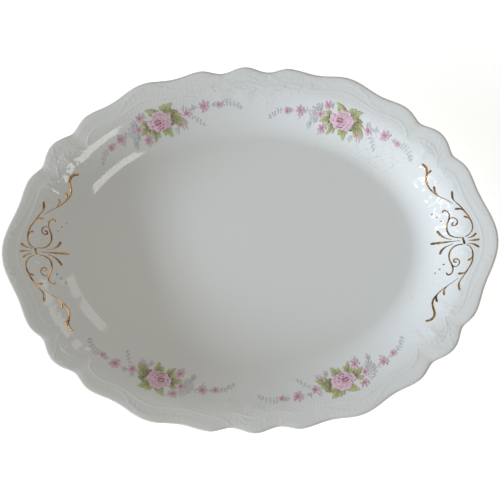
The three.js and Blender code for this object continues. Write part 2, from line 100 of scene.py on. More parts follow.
@dataclass(frozen=True)
class RimChart:
    """Carries (s, d) to space: s runs along the base ellipse, d runs in from it.

    The ellipse lies just inside the scalloped edge, which swings about it.
    """

    length: float
    width: float
    rim_height: float = 34.6
    well_height: float = 7.0
    rim_width_ends: float = 53.0
    rim_width_sides: float = 45.5
    cord_from_edge: float = 10.8
    cord_curl: float = 3.6
    cord_curl_spread: float = 4.5
    furrow_depth: float = 0.35
    furrow_half_width: float = 4.5
    furrow_length: float = 22.0
    notch_round: float = 0.22  # share of the stretch beside a notch
    lip_roll: float = 0.5
    lip_roll_reach: float = 5.5
    # Share of the quarter from the end of the long axis, offset outwards, shape.
    keys: tuple[tuple[float, float, KeyShape], ...] = (
        (0.0, 3.2, KeyShape.SMOOTH),
        (0.155, -2.0, KeyShape.SMOOTH),
        (0.228, -0.8, KeyShape.SMOOTH),
        (0.286, -3.3, KeyShape.NOTCH),
        (0.357, 0.9, KeyShape.SMOOTH),
        (0.428, -2.7, KeyShape.NOTCH),
        (0.495, 0.8, KeyShape.SMOOTH),
        (0.568, -0.7, KeyShape.SMOOTH),
        (0.68, 2.7, KeyShape.SMOOTH),
        (0.783, -0.6, KeyShape.SMOOTH),
        (0.863, 0.9, KeyShape.SMOOTH),
        (0.929, -2.5, KeyShape.SMOOTH),
        (1.0, 0.8, KeyShape.SMOOTH),
    )
    # Steepness of the rim's section against the share of the rim width.
    flange_end: float = 0.25
    wall_start: float = 0.45
    wall_end: float = 0.66
    flange_steepness: float = 0.27
    wall_steepness: float = 0.8

    def __post_init__(self) -> None:
        """Works out the ellipse, the table of arc lengths and the fall of the section."""
        base_x = self.length / 2 - self.keys[0][1]
        base_y = self.width / 2 - self.keys[-1][1]
        angles = np.linspace(0.0, 2 * math.pi, 5761)
        middle = (angles[1:] + angles[:-1]) / 2
        speed = np.hypot(base_x * np.sin(middle), base_y * np.cos(middle))
        arcs = np.concatenate([[0.0], np.cumsum(speed * np.diff(angles))])
        shares = np.linspace(0.0, 1.0, 1001)
        steep = self.steepness(shares)
        steps = (steep[1:] + steep[:-1]) / 2 * np.diff(shares)
        fall = np.concatenate([[0.0], np.cumsum(steps)])
        for name, value in {
            "base_x": base_x,
            "base_y": base_y,
            "angles": angles,
            "arcs": arcs,
            "around": float(arcs[-1]),
            "quarter": float(arcs[-1]) / 4,
            "fall_shares": shares,
            "falls": fall,
        }.items():
            object.__setattr__(self, name, value)

    def steepness(self, w: Array) -> Array:
        """Steepness at share w: a gentle flange, an even ramp, a steep wall, a cove to level."""
        knots = (0.0, self.flange_end, self.wall_start, self.wall_end, 1.0)
        flange, wall = self.flange_steepness, self.wall_steepness
        return np.interp(w, knots, (flange, flange, wall, wall, 0.0))

    def angle(self, s: Array) -> Array:
        """The ellipse's own angle at arc position s."""
        return np.interp(np.mod(s, self.around), self.arcs, self.angles)

    def fold(self, s: Array) -> Array:
        """Distance along the rim from the nearer end of the long axis, 0 to a quarter."""
        wrapped = np.mod(s / self.quarter, 2.0)
        return np.where(wrapped > 1.0, 2.0 - wrapped, wrapped) * self.quarter

    def leave_notch(self, t: Array) -> Array:
        """Share of the wave covered at share t away from a notch: a hyperbola, slow at first."""
        gone = np.hypot(t, self.notch_round) - self.notch_round
        return gone / (math.hypot(1.0, self.notch_round) - self.notch_round)

    def scallop(self, s: Array) -> Array:
        """Offset of the edge outwards.

        Half a cosine wave joins smooth keys; a quarter wave leaves or meets a notch, whose
        bottom is round.
        """
        share = self.fold(s) / self.quarter
        offset = np.zeros_like(share)
        for (start, low, shape), (stop, high, next_shape) in zip(self.keys, self.keys[1:]):
            inside = (share >= start) & (share <= stop)
            t = np.clip((share - start) / (stop - start), 0.0, 1.0)
            blend = (1 - np.cos(math.pi * t)) / 2
            if shape is KeyShape.NOTCH:
                blend = np.sin(math.pi / 2 * self.leave_notch(t))
            if next_shape is KeyShape.NOTCH:
                blend = 1 - np.sin(math.pi / 2 * self.leave_notch(1 - t))
            offset = np.where(inside, low + (high - low) * blend, offset)
        return offset

    def notches(self) -> list[float]:
        """Where the notches lie, as shares of the quarter."""
        return [share for share, _, shape in self.keys if shape is KeyShape.NOTCH]

    def notch_distance(self, s: Array) -> Array:
        """Distance along the rim to the nearest notch."""
        q = self.fold(s)
        gaps = [np.abs(q - share * self.quarter) for share in self.notches()]
        return np.minimum.reduce(gaps)

    def cord_line(self, s: Array) -> Array:
        """Inset of the cord: a fixed way in from the edge, curling in beside each notch."""
        curl = self.cord_curl * bell(self.notch_distance(s) / self.cord_curl_spread)
        return self.cord_from_edge - self.scallop(s) + curl

    def rim_width(self, s: Array) -> Array:
        """Width of the rim, which eases from the ends to the sides as cos^2 of the angle."""
        c = np.cos(self.angle(s))
        return self.rim_width_sides + (self.rim_width_ends - self.rim_width_sides) * c * c

    def top(self, s: Array, d: Array) -> Array:
        """Height of the plain top surface: the rim height less the section's fall."""
        w = d / self.rim_width(s)
        fall = np.interp(w, self.fall_shares, self.falls)
        fall = np.where(w < 0, w * self.flange_steepness, fall)
        return self.rim_height - (self.rim_height - self.well_height) * fall / self.falls[-1]

    def slope(self, s: Array, d: Array) -> Array:
        """Downward slope of the plain top surface, towards the well."""
        width = self.rim_width(s)
        depth = (self.rim_height - self.well_height) / self.falls[-1]
        return depth * self.steepness(d / width) / width

    def furrow(self, s: Array, d: Array) -> Array:
        """The crease that runs in from each notch: a bell across, fading evenly inwards."""
        across = bell(self.notch_distance(s) / self.furrow_half_width)
        return -self.furrow_depth * across * np.clip(1 - d / self.furrow_length, 0.0, 1.0)

    def roll(self, s: Array, d: Array) -> Array:
        """How far the rim has rolled down near the lip: the square of what is left of the reach."""
        left = np.clip(1 - (d + self.scallop(s)) / self.lip_roll_reach, 0.0, 1.0)
        return -self.lip_roll * left**2

    def place(self, s: Array, d: Array, z: Array) -> Array:
        """The point d inside the ellipse along its normal, at height z.

        Returns:
            Points, with x, y and z in the last axis.
        """
        a = self.angle(s)
        nx, ny = np.cos(a) / self.base_x, np.sin(a) / self.base_y
        length = np.hypot(nx, ny)
        x = self.base_x * np.cos(a) - nx / length * d
        y = self.base_y * np.sin(a) - ny / length * d
        return np.stack(np.broadcast_arrays(x, y, z), axis=-1)

    def shrink(self, s: Array, d: Array) -> Array:
        """How much shorter a step along the rim is at inset d than on the ellipse."""
        a = self.angle(s)
        speed = np.hypot(self.base_x * np.sin(a), self.base_y * np.cos(a))
        return 1 - d * self.base_x * self.base_y / speed**3


# ---------------------------------------------------------------------------
# Moulded relief
# ---------------------------------------------------------------------------


@dataclass(frozen=True)
class Boss:
    """An oval swelling of the mould, laid out on one quarter of the rim.

    q and d place it; half_long and half_wide size it; turn is its angle in degrees from
    the rim's own direction; rise is its height; rib is how deep its midrib is cut.
    """

    q: float
    d: float
    half_long: float
    half_wide: float
    turn: float
    rise: float
    rib: float = 0.0


def leaf_fan(
    q: float, d: float, reach: float, turns: Sequence[float], wide: float, rise: float
) -> list[Boss]:
    """Leaves that spread from one point: each is an oval whose inner end is the point."""
    half = reach / 2
    return [
        Boss(
            q + half * math.cos(math.radians(turn)),
            d + half * math.sin(math.radians(turn)),
            half,
            wide,
            turn,
            rise,
            0.45,
        )
        for turn in turns
    ]


@dataclass(frozen=True)
class ReliefMould:
    """Height of the moulded decoration over the plain rim. Both axes mirror it."""

    chart: RimChart
    cord_height: float = 0.17
    cord_spread: float = 1.0
    shadow_line_height: float = 0.045
    bead_height: float = 0.11
    bead_spread: float = 0.7
    bead_pitch: float = 2.75
    bead_inset: float = 2.3
    pebble_pitch: float = 3.6
    pebble_rise: float = 0.08
    scroll_height: float = 0.1
    scroll_spread: float = 0.75
    boss_share: float = 0.5
    # Thin scrolls between cord and edge, as (q, d) corners.
    scrolls: tuple[tuple[tuple[float, float], ...], ...] = (
        ((129.5, 9.6), (134, 9.5), (138.6, 7.8), (143, 4.6), (147.7, 2.8), (153, 1.5),
         (158.6, 1.5)),
        ((188, 9.6), (183, 9.4), (178, 7.6), (172, 4.6), (167, 2.8), (162, 1.7)),
        ((13.2, 4.6), (12.2, 3), (13, 1.4), (14.8, 1.1), (16.4, 2.6), (17.4, 5), (22, 6.4),
         (30, 8.2), (38, 9.2), (45, 9.6)),
        ((204, 9.4), (209, 8.4), (213, 6.4), (214.4, 3.8)),
        ((222, 9.6), (226, 7.4), (229, 6.2), (232.2, 5.8)),
        ((73, 11), (77, 8), (80, 4.4), (82.4, 1.6)),
        ((94, 9.6), (91, 6.6), (87.5, 3.8), (84.4, 1.8)),
    )
    bosses: tuple[Boss, ...] = field(default_factory=tuple)

    def ridge(self, q: Array, d: Array, corners: Sequence[tuple[float, float]]) -> Array:
        """A rounded thread along corners: a bell of the distance to the nearest stretch."""
        nearest = np.full(np.broadcast(q, d).shape, 1e9)
        for (q0, d0), (q1, d1) in zip(corners, corners[1:]):
            along_q, along_d = q1 - q0, d1 - d0
            t = ((q - q0) * along_q + (d - d0) * along_d) / (along_q**2 + along_d**2)
            t = np.clip(t, 0.0, 1.0)
            gap = np.hypot(q - q0 - t * along_q, d - d0 - t * along_d)
            nearest = np.minimum(nearest, gap)
        return self.scroll_height * bell(nearest / self.scroll_spread)

    def pebbles(self, q: Array, d: Array, e: Array) -> Array:
        """Stippled ground between cord and edge.

        Cells of a jittered lattice each hold a rounded pebble, tallest at its centre; the
        pebbles fade out at the lip and at the cord.
        """
        pitch = self.pebble_pitch
        iq, ie = np.floor(q / pitch), np.floor(e / pitch * 1.2)
        nearest = np.full(np.broadcast(q, e).shape, 1e9)
        for step_q in (-1, 0, 1):
            for step_e in (-1, 0, 1):
                cq, ce = iq + step_q, ie + step_e
                jitter_q = np.mod(np.sin(cq * 12.9898 + ce * 78.233) * 437.585, 1.0)
                jitter_e = np.mod(np.sin(cq * 39.346 + ce * 11.135) * 237.121, 1.0)
                at_q = (cq + 0.2 + 0.6 * jitter_q) * pitch
                at_e = (ce + 0.2 + 0.6 * jitter_e) * pitch / 1.2
                nearest = np.minimum(nearest, np.hypot(q - at_q, (e - at_e) * 1.15))
        rise = self.pebble_rise * (1 - smooth_step(nearest / (0.62 * pitch)))
        inner = self.chart.cord_from_edge
        band = smooth_step((e - 1.6) / 1.6) * smooth_step((inner - 1.6 - e) / 1.6)
        quiet = 0.35 + 0.65 * smooth_step((np.sin(q * 0.083 + 0.9) + 0.45) / 0.9)
        return rise * band * quiet

    def height(self, s: Array, d: Array) -> Array:
        """Height of the relief over the plain top surface at (s, d)."""
        chart = self.chart
        s, d = np.broadcast_arrays(s, d)
        q = chart.fold(s)
        e = d + chart.scallop(s)
        off_cord = d - chart.cord_line(s)
        near_notch = bell(chart.notch_distance(s) / 5.0)
        rise = self.cord_height * bell(off_cord / self.cord_spread)
        rise += self.shadow_line_height * bell((off_cord + 2.3) / 0.55) * (1 - near_notch)
        beads = (0.5 + 0.5 * np.cos(2 * math.pi * q / self.bead_pitch)) ** 1.3
        row = bell((off_cord - self.bead_inset) / self.bead_spread)
        rise += self.bead_height * row * beads * (1 - 0.8 * near_notch)
        for corners in self.scrolls:
            rise += self.ridge(q, d, corners)
        rise += self.pebbles(q, d, e)
        for boss in self.bosses:
            turn = math.radians(boss.turn)
            run, across = q - boss.q, d - boss.d
            long = (run * math.cos(turn) + across * math.sin(turn)) / boss.half_long
            wide = (across * math.cos(turn) - run * math.sin(turn)) / boss.half_wide
            body = np.exp(-((long**2 + wide**2) ** 2))
            cut = 1 - boss.rib * bell(wide / 0.22)
            rise += self.boss_share * boss.rise * body * cut
        rise = rise * smooth_step((e - 0.9) / 1.2)
        return rise + chart.furrow(s, d) + chart.roll(s, d)


def rim_bosses() -> tuple[Boss, ...]:
    """The mould's leaves and rosettes on one quarter of the rim.

    Returns:
        Every boss: rosette and leaves by the plume, palmette at the end of the long axis,
        acanthus in the corner lobe, and leaves at the middle of the side.
    """
    found: list[Boss] = []
    for k in range(5):
        turn = 90 + 72 * k
        found.append(
            Boss(
                60 + 2.7 * math.cos(math.radians(turn)),
                22.6 + 2.4 * math.sin(math.radians(turn)),
                1.75,
                1.45,
                turn,
                0.6,
                0.3,
            )
        )
    found.append(Boss(60, 22.6, 0.95, 0.9, 0, 0.75))
    found += leaf_fan(60, 17.6, 6.5, (-162, -128, -52, -18), 1.15, 0.42)
    found += leaf_fan(0, 20, 9.5, (28, 62, 90), 1.5, 0.5)
    found += leaf_fan(7.5, 19.5, 8.5, (-28, 8, 44), 1.3, 0.55)
    found += leaf_fan(13, 21.5, 6.5, (-8, 40), 1.1, 0.45)
    found += leaf_fan(30, 22.5, 7.5, (-40, 0, 40), 1.2, 0.4)
    # Low, wide swellings of leafy relief all along the plume.
    for q, d, turn in (
        (19, 24.4, 20), (24, 29.5, -35), (27.5, 22.4, 60), (33, 27.6, 15), (38, 31.4, -40),
        (41, 24.6, 70), (47, 30.4, 10), (52, 22.6, -30), (54, 33, 40), (61, 31.4, -15),
        (66.5, 28.6, 50), (71, 24.6, 0), (30, 34, 0), (12, 31, 30), (45, 35.4, -20),
    ):
        found.append(Boss(q, d, 3.4, 2.2, turn, 0.2, 0.0))
    found += leaf_fan(44, 15.4, 6, (10, 50, 150), 1.0, 0.35)
    found += leaf_fan(83, 17, 8.5, (-155, -128, -100, -80, -52, -25), 1.35, 0.5)
    found += leaf_fan(83, 18, 7, (30, 62, 90, 118, 150), 1.2, 0.45)
    found += leaf_fan(74, 20, 6.5, (70, 110, 150), 1.1, 0.38)
    found += leaf_fan(92.5, 20, 6.5, (30, 70, 110), 1.1, 0.38)
    found += leaf_fan(232.1, 15.5, 8, (100, 128, 158, 190), 1.3, 0.45)
    found += leaf_fan(214, 17.5, 7, (20, 60, 120, 160), 1.15, 0.4)
    return tuple(found)


# ---------------------------------------------------------------------------
# Meshes
# ---------------------------------------------------------------------------


@dataclass
class Skin:
    """Vertices in millimetres, with faces of three or four corners.

    names lists the numbers or colours that every vertex carries; one left out is 0.
    """

    names: tuple[str, ...] = ()
    points: list[Array] = field(default_factory=list)
    quads: list[Array] = field(default_factory=list)
    triangles: list[Array] = field(default_factory=list)
    values: dict[str, list[Array]] = field(default_factory=dict)
    count: int = 0

    def add_points(self, points: Array, **values: Array) -> Array:
        """Adds points.

        Args:
            points: Positions, x, y and z in the last axis.
            values: One number or colour for each point, by name.

        Returns:
            The indices of the new points, in the shape of the grid that they came in.
        """
        shape = points.shape[:-1]
        flat = points.reshape(-1, 3)
        index = np.arange(self.count, self.count + len(flat)).reshape(shape)
        self.points.append(flat)
        for name in self.names:
            width = 4 if name == "ink" else 1
            target = (*shape, width) if width > 1 else shape
            value = np.broadcast_to(values.get(name, 0.0), target).reshape(len(flat), width)
            self.values.setdefault(name, []).append(value)
        self.count += len(flat)
        return index

    def bridge(self, a: Array, b: Array) -> None:
        """Joins closed ring a to ring b, which goes round outside it or under it.

        Equal rings are joined by quads. Where one has twice the points of the other, each
        coarse step is joined to two fine ones by three triangles.
        """
        a1, b1 = np.roll(a, -1), np.roll(b, -1)
        if len(a) == len(b):
            self.quads.append(np.stack([a, b, b1, a1], axis=1))
        elif len(a) == 2 * len(b):
            even, odd, after = a[0::2], a[1::2], np.roll(a[0::2], -1)
            self.triangles.append(np.stack([even, b, odd], axis=1))
            self.triangles.append(np.stack([odd, b, b1], axis=1))
            self.triangles.append(np.stack([odd, b1, after], axis=1))
        else:
            even, odd, after = b[0::2], b[1::2], np.roll(b[0::2], -1)
            self.triangles.append(np.stack([a, even, odd], axis=1))
            self.triangles.append(np.stack([a, odd, a1], axis=1))
            self.triangles.append(np.stack([a1, odd, after], axis=1))

    def fan(self, ring: Array, middle: int, faces_up: bool) -> None:
        """Closes a ring with triangles that meet in one middle point."""
        after = np.roll(ring, -1)
        centre = np.full(len(ring), middle)
        corners = [centre, ring, after] if faces_up else [centre, after, ring]
        self.triangles.append(np.stack(corners, axis=1))

    def add_film(self, top: Array, bottom: Array, **values: Array) -> None:
        """Adds one closed film from two grids of the same shape.

        The loop of each station runs along the top row and back along the bottom one;
        loops are joined station by station, and a fan of quads closes each end.

        Args:
            top: Stations by places across by xyz.
            bottom: The same for the underside.
            values: Numbers or colours for the stations and places of one side.
        """
        loop = np.concatenate([top, bottom[:, ::-1]], axis=1)
        both = {}
        for name, value in values.items():
            tail = (4,) if name == "ink" else ()
            value = np.broadcast_to(value, (*top.shape[:2], *tail))
            both[name] = np.concatenate([value, value[:, ::-1]], axis=1)
        index = self.add_points(loop, **both)
        after = np.roll(index, -1, axis=1)
        sides = np.stack([index[:-1], after[:-1], after[1:], index[1:]], axis=-1)
        self.quads.append(sides.reshape(-1, 4))
        across = top.shape[1]
        k = np.arange(across - 1)
        back = 2 * across - 1 - k
        first, last = index[0], index[-1]
        self.quads.append(np.stack([first[k], first[back], first[back - 1], first[k + 1]], 1))
        self.quads.append(np.stack([last[k], last[k + 1], last[back - 1], last[back]], 1))

    def finish(self, name: str, material: bpy.types.Material) -> bpy.types.Object:
        """Makes the Blender object, in metres, smooth shaded, with its attributes.

        Args:
            name: The piece's name.
            material: Its finish.

        Returns:
            The new object, at the origin.
        """
        points = np.concatenate(self.points) * MM
        quads = np.concatenate(self.quads) if self.quads else np.zeros((0, 4), int)
        tris = np.concatenate(self.triangles) if self.triangles else np.zeros((0, 3), int)
        starts = np.concatenate(
            [np.arange(len(quads)) * 4, 4 * len(quads) + np.arange(len(tris)) * 3]
        )
        mesh = bpy.data.meshes.new(name)
        mesh.vertices.add(len(points))
        mesh.vertices.foreach_set("co", points.astype(np.float32).ravel())
        mesh.loops.add(quads.size + tris.size)
        mesh.polygons.add(len(starts))
        mesh.polygons.foreach_set("loop_start", starts.astype(np.int32))
        corners = np.concatenate([quads.ravel(), tris.ravel()]).astype(np.int32)
        mesh.loops.foreach_set("vertex_index", corners)
        mesh.polygons.foreach_set("use_smooth", np.ones(len(starts), bool))
        mesh.update(calc_edges=True)
        mesh.validate()
        for key, parts in self.values.items():
            found = np.concatenate(parts).astype(np.float32)
            if key == "ink":
                layer = mesh.color_attributes.new(key, "FLOAT_COLOR", "POINT")
                layer.data.foreach_set("color", found.ravel())
            else:
                layer = mesh.attributes.new(key, "FLOAT", "POINT")
                layer.data.foreach_set("value", found.ravel())
        mesh.materials.append(material)
        piece = bpy.data.objects.new(name, mesh)
        bpy.context.collection.objects.link(piece)
        LOG.info("%s: %d triangles", name, 2 * len(quads) + len(tris))
        return piece


# ---------------------------------------------------------------------------
# Finishes
# ---------------------------------------------------------------------------


def add_node(
    tree: bpy.types.NodeTree,
    kind: str,
    settings: dict[str, object] | None = None,
    inputs: dict[str | int, object] | None = None,
) -> bpy.types.Node:
    """Adds a node with its settings, and sets or links its inputs.

    Args:
        tree: The material's or world's tree.
        kind: The node's type.
        settings: Properties of the node.
        inputs: For each input, by name or place, an output socket to link or a value.

    Returns:
        The node.
    """
    node = tree.nodes.new(kind)
    for name, value in (settings or {}).items():
        setattr(node, name, value)
    for key, value in (inputs or {}).items():
        if isinstance(value, bpy.types.NodeSocket):
            tree.links.new(value, node.inputs[key])
        else:
            node.inputs[key].default_value = value
    return node


def new_material(name: str) -> tuple[bpy.types.Material, bpy.types.NodeTree]:
    """Makes an empty node material and returns it with its tree."""
    material = bpy.data.materials.new(name)
    material.use_nodes = True
    material.node_tree.nodes.clear()
    return material, material.node_tree


def per_metre(size_mm: float) -> float:
    """Texture scale, in cells per metre, for cells of the given size in millimetres."""
    return 1.0 / (size_mm * MM)


MAP = "ShaderNodeMapRange"
MATH = "ShaderNodeMath"
MIX = "ShaderNodeMix"
NOISE = "ShaderNodeTexNoise"
CELLS = "ShaderNodeTexVoronoi"


@dataclass(frozen=True)
class GlazedChina:
    """White earthenware under a clear, faintly blue lead glaze, fired and old.

    The eye sees a cool white body, a deep wet shine that ripples a little, glaze gathered
    grey-blue in the hollows of the relief, a web of fine cracks in places, tiny dark pits,
    the bare tan clay where the glaze has worn off the foot, and a tan band along the lip
    that is partly thin, worn glaze and partly painted shade of the lip turning away.
    """

    body: str = "E4E3DF"
    cool: str = "DFE2E3"
    pooled: str = "B9C1C6"
    # Tan of the bare clay at the foot; along the lip the same tan is partly painted shade.
    clay_and_lip_shade_tan: str = "B4A48C"
    crack: str = "A9ABA8"
    pit: str = "5B5148"
    roughness: float = 0.075
    ior: float = 1.5
    cloud_mm: float = 70.0
    crack_mm: float = 5.2
    craze_cloud_mm: float = 85.0
    bare_grain_mm: float = 5.0
    crack_width: float = 0.018  # share of a cell; drawn wider than a real hairline crack
    pit_spacing_mm: float = 27.0
    ripple_mm: float = 9.0
    orange_peel_mm: float = 1.4

    def build(self) -> bpy.types.Material:
        """Makes the material, which reads the body's pool, lip and foot values."""
        material, tree = new_material("glazed_china")
        place = add_node(tree, "ShaderNodeTexCoord").outputs["Object"]
        clouds = add_node(
            tree, NOISE, inputs={"Vector": place, "Scale": per_metre(self.cloud_mm), "Detail": 3.0}
        )
        base = add_node(
            tree,
            MIX,
            {"data_type": "RGBA"},
            {0: clouds.outputs["Fac"], 6: linear(self.body), 7: linear(self.cool)},
        )
        pool = add_node(tree, "ShaderNodeAttribute", {"attribute_name": "pool"})
        depth = add_node(
            tree, MAP, inputs={"Value": pool.outputs["Fac"], 1: 0.0, 2: 0.3, 3: 0.0, 4: 0.85}
        )
        base = add_node(
            tree,
            MIX,
            {"data_type": "RGBA"},
            {0: depth.outputs[0], 6: base.outputs[2], 7: linear(self.pooled)},
        )
        web = self.cracks(tree, place)
        base = add_node(
            tree,
            MIX,
            {"data_type": "RGBA"},
            {0: web, 6: base.outputs[2], 7: linear(self.crack)},
        )
        base = add_node(
            tree,
            MIX,
            {"data_type": "RGBA"},
            {0: self.pits(tree, place), 6: base.outputs[2], 7: linear(self.pit)},
        )
        # Tan mix: bare clay at the foot, and along the lip partly worn glaze and partly painted
        # shade.
        clay_wear_and_lip_shade = self.clay_wear_and_lip_shade(tree, place)
        base = add_node(
            tree,
            MIX,
            {"data_type": "RGBA"},
            {0: clay_wear_and_lip_shade, 6: base.outputs[2], 7: linear(self.clay_and_lip_shade_tan)},
        )
        rough = add_node(
            tree, MAP, inputs={"Value": clay_wear_and_lip_shade, 3: self.roughness, 4: 0.45}
        )
        bump = self.surface(tree, place, web)
        shader = add_node(
            tree,
            "ShaderNodeBsdfPrincipled",
            inputs={
                "Base Color": base.outputs[2],
                "Roughness": rough.outputs[0],
                "IOR": self.ior,
                "Normal": bump,
            },
        )
        add_node(tree, "ShaderNodeOutputMaterial", inputs={"Surface": shader.outputs[0]})
        return material

    def cracks(self, tree: bpy.types.NodeTree, place: bpy.types.NodeSocket) -> bpy.types.NodeSocket:
        """The crazing: thin edges between cells, present only in some clouds.

        Args:
            tree: The material's tree.
            place: Object coordinates.

        Returns:
            The socket with how much of a crack shows.
        """
        bent = add_node(
            tree, NOISE, inputs={"Vector": place, "Scale": per_metre(14.0), "Detail": 1.0}
        )
        pull = add_node(
            tree,
            "ShaderNodeVectorMath",
            {"operation": "MULTIPLY_ADD"},
            {0: bent.outputs["Color"], 1: (0.004, 0.004, 0.004), 2: place},
        )
        cells = add_node(
            tree,
            CELLS,
            {"feature": "DISTANCE_TO_EDGE"},
            {"Vector": pull.outputs[0], "Scale": per_metre(self.crack_mm)},
        )
        line = add_node(
            tree,
            MAP,
            inputs={
                "Value": cells.outputs["Distance"], 1: 0.0, 2: self.crack_width, 3: 0.75, 4: 0.0
            },
        )
        patch = add_node(
            tree,
            NOISE,
            inputs={"Vector": place, "Scale": per_metre(self.craze_cloud_mm), "Detail": 2.0},
        )
        shown = add_node(
            tree, MAP, inputs={"Value": patch.outputs["Fac"], 1: 0.3, 2: 0.5, 3: 0.4, 4: 1.0}
        )
        both = add_node(
            tree, MATH, {"operation": "MULTIPLY"}, {0: line.outputs[0], 1: shown.outputs[0]}
        )
        where = add_node(tree, "ShaderNodeAttribute", {"attribute_name": "crazed"})
        web = add_node(
            tree, MATH, {"operation": "MULTIPLY"}, {0: both.outputs[0], 1: where.outputs["Fac"]}
        )
        return web.outputs[0]

    def pits(self, tree: bpy.types.NodeTree, place: bpy.types.NodeSocket) -> bpy.types.NodeSocket:
        """Sparse dark pits: the middle of a few of the cells of a coarse pattern.

        Args:
            tree: The material's tree.
            place: Object coordinates.

        Returns:
            The socket with how much of a pit shows.
        """
        cells = add_node(
            tree, CELLS, inputs={"Vector": place, "Scale": per_metre(self.pit_spacing_mm)}
        )
        size = add_node(
            tree,
            "ShaderNodeSeparateColor",
            inputs={"Color": cells.outputs["Color"]},
        )
        radius = add_node(
            tree, MAP, inputs={"Value": size.outputs[0], 1: 0.6, 2: 1.0, 3: 0.0001, 4: 0.02}
        )
        inside = add_node(
            tree,
            MAP,
            inputs={
                "Value": cells.outputs["Distance"],
                1: 0.0,
                2: radius.outputs[0],
                3: 0.8,
                4: 0.0,
            },
        )
        return inside.outputs[0]

    def clay_wear_and_lip_shade(self, tree: bpy.types.NodeTree, place: bpy.types.NodeSocket) -> bpy.types.NodeSocket:
        """Where the tan shows: bare clay at the foot's edge, and the lip's line, which is partly
        worn glaze and partly painted shade, broken up by noise.

        Args:
            tree: The material's tree.
            place: Object coordinates.

        Returns:
            The socket with how bare the clay is.
        """
        # Tan at the lip, partly painted shade, and at the foot, bare clay.
        bare = add_node(tree, "ShaderNodeAttribute", {"attribute_name": "bare"})
        grain = add_node(
            tree,
            NOISE,
            inputs={"Vector": place, "Scale": per_metre(self.bare_grain_mm), "Detail": 4.0},
        )
        broken = add_node(
            tree, MAP, inputs={"Value": grain.outputs["Fac"], 1: 0.35, 2: 0.65, 3: 0.55, 4: 1.0}
        )
        both = add_node(
            tree, MATH, {"operation": "MULTIPLY"}, {0: bare.outputs["Fac"], 1: broken.outputs[0]}
        )
        return both.outputs[0]

    def surface(
        self, tree: bpy.types.NodeTree, place: bpy.types.NodeSocket, web: bpy.types.NodeSocket
    ) -> bpy.types.NodeSocket:
        """The glaze's own unevenness: a slow ripple, a fine orange peel, and the cracks.

        Args:
            tree: The material's tree.
            place: Object coordinates.
            web: How much of a crack shows.

        Returns:
            The normal's socket.
        """
        ripple = add_node(
            tree, NOISE, inputs={"Vector": place, "Scale": per_metre(self.ripple_mm), "Detail": 1.0}
        )
        slow = add_node(
            tree,
            "ShaderNodeBump",
            inputs={"Strength": 0.35, "Distance": 0.00012, "Height": ripple.outputs["Fac"]},
        )
        peel = add_node(
            tree,
            NOISE,
            inputs={"Vector": place, "Scale": per_metre(self.orange_peel_mm), "Detail": 2.0},
        )
        fine = add_node(
            tree,
            "ShaderNodeBump",
            inputs={
                "Strength": 0.25,
                "Distance": 0.00001,
                "Height": peel.outputs["Fac"],
                "Normal": slow.outputs[0],
            },
        )
        cut = add_node(
            tree,
            "ShaderNodeBump",
            {"invert": True},
            {"Strength": 0.3, "Distance": 0.00003, "Height": web, "Normal": fine.outputs[0]},
        )
        return cut.outputs[0]


@dataclass(frozen=True)
class EnamelPrint:
    """Ceramic enamel of a stippled colour print, fired into the glaze.

    The eye sees flat, slightly chalky colour made of fine dots, a little less glossy than
    the glaze round it, with the white of the glaze between the dots.
    """

    roughness: float = 0.24
    ior: float = 1.5
    dot_mm: float = 0.42
    gap: str = "E3E0DE"
    gap_share: float = 0.3

    def build(self) -> bpy.types.Material:
        """Makes the material, which takes its colour from the print's own ink value."""
        material, tree = new_material("fired_enamel_print")
        place = add_node(tree, "ShaderNodeTexCoord").outputs["Object"]
        ink = add_node(tree, "ShaderNodeAttribute", {"attribute_name": "ink"})
        dots = add_node(
            tree, CELLS, inputs={"Vector": place, "Scale": per_metre(self.dot_mm)}
        )
        open_share = add_node(
            tree,
            MAP,
            inputs={"Value": dots.outputs["Distance"], 1: 0.35, 2: 0.7, 3: 0.0, 4: self.gap_share},
        )
        colour = add_node(
            tree,
            MIX,
            {"data_type": "RGBA"},
            {0: open_share.outputs[0], 6: ink.outputs["Color"], 7: linear(self.gap)},
        )
        rough = add_node(
            tree,
            MAP,
            inputs={"Value": open_share.outputs[0], 2: self.gap_share, 3: self.roughness, 4: 0.12},
        )
        bump = add_node(
            tree,
            "ShaderNodeBump",
            {"invert": True},
            {"Strength": 0.3, "Distance": 0.00001, "Height": open_share.outputs[0]},
        )
        shader = add_node(
            tree,
            "ShaderNodeBsdfPrincipled",
            inputs={
                "Base Color": colour.outputs[2],
                "Roughness": rough.outputs[0],
                "IOR": self.ior,
                "Normal": bump.outputs[0],
            },
        )
        add_node(tree, "ShaderNodeOutputMaterial", inputs={"Surface": shader.outputs[0]})
        return material


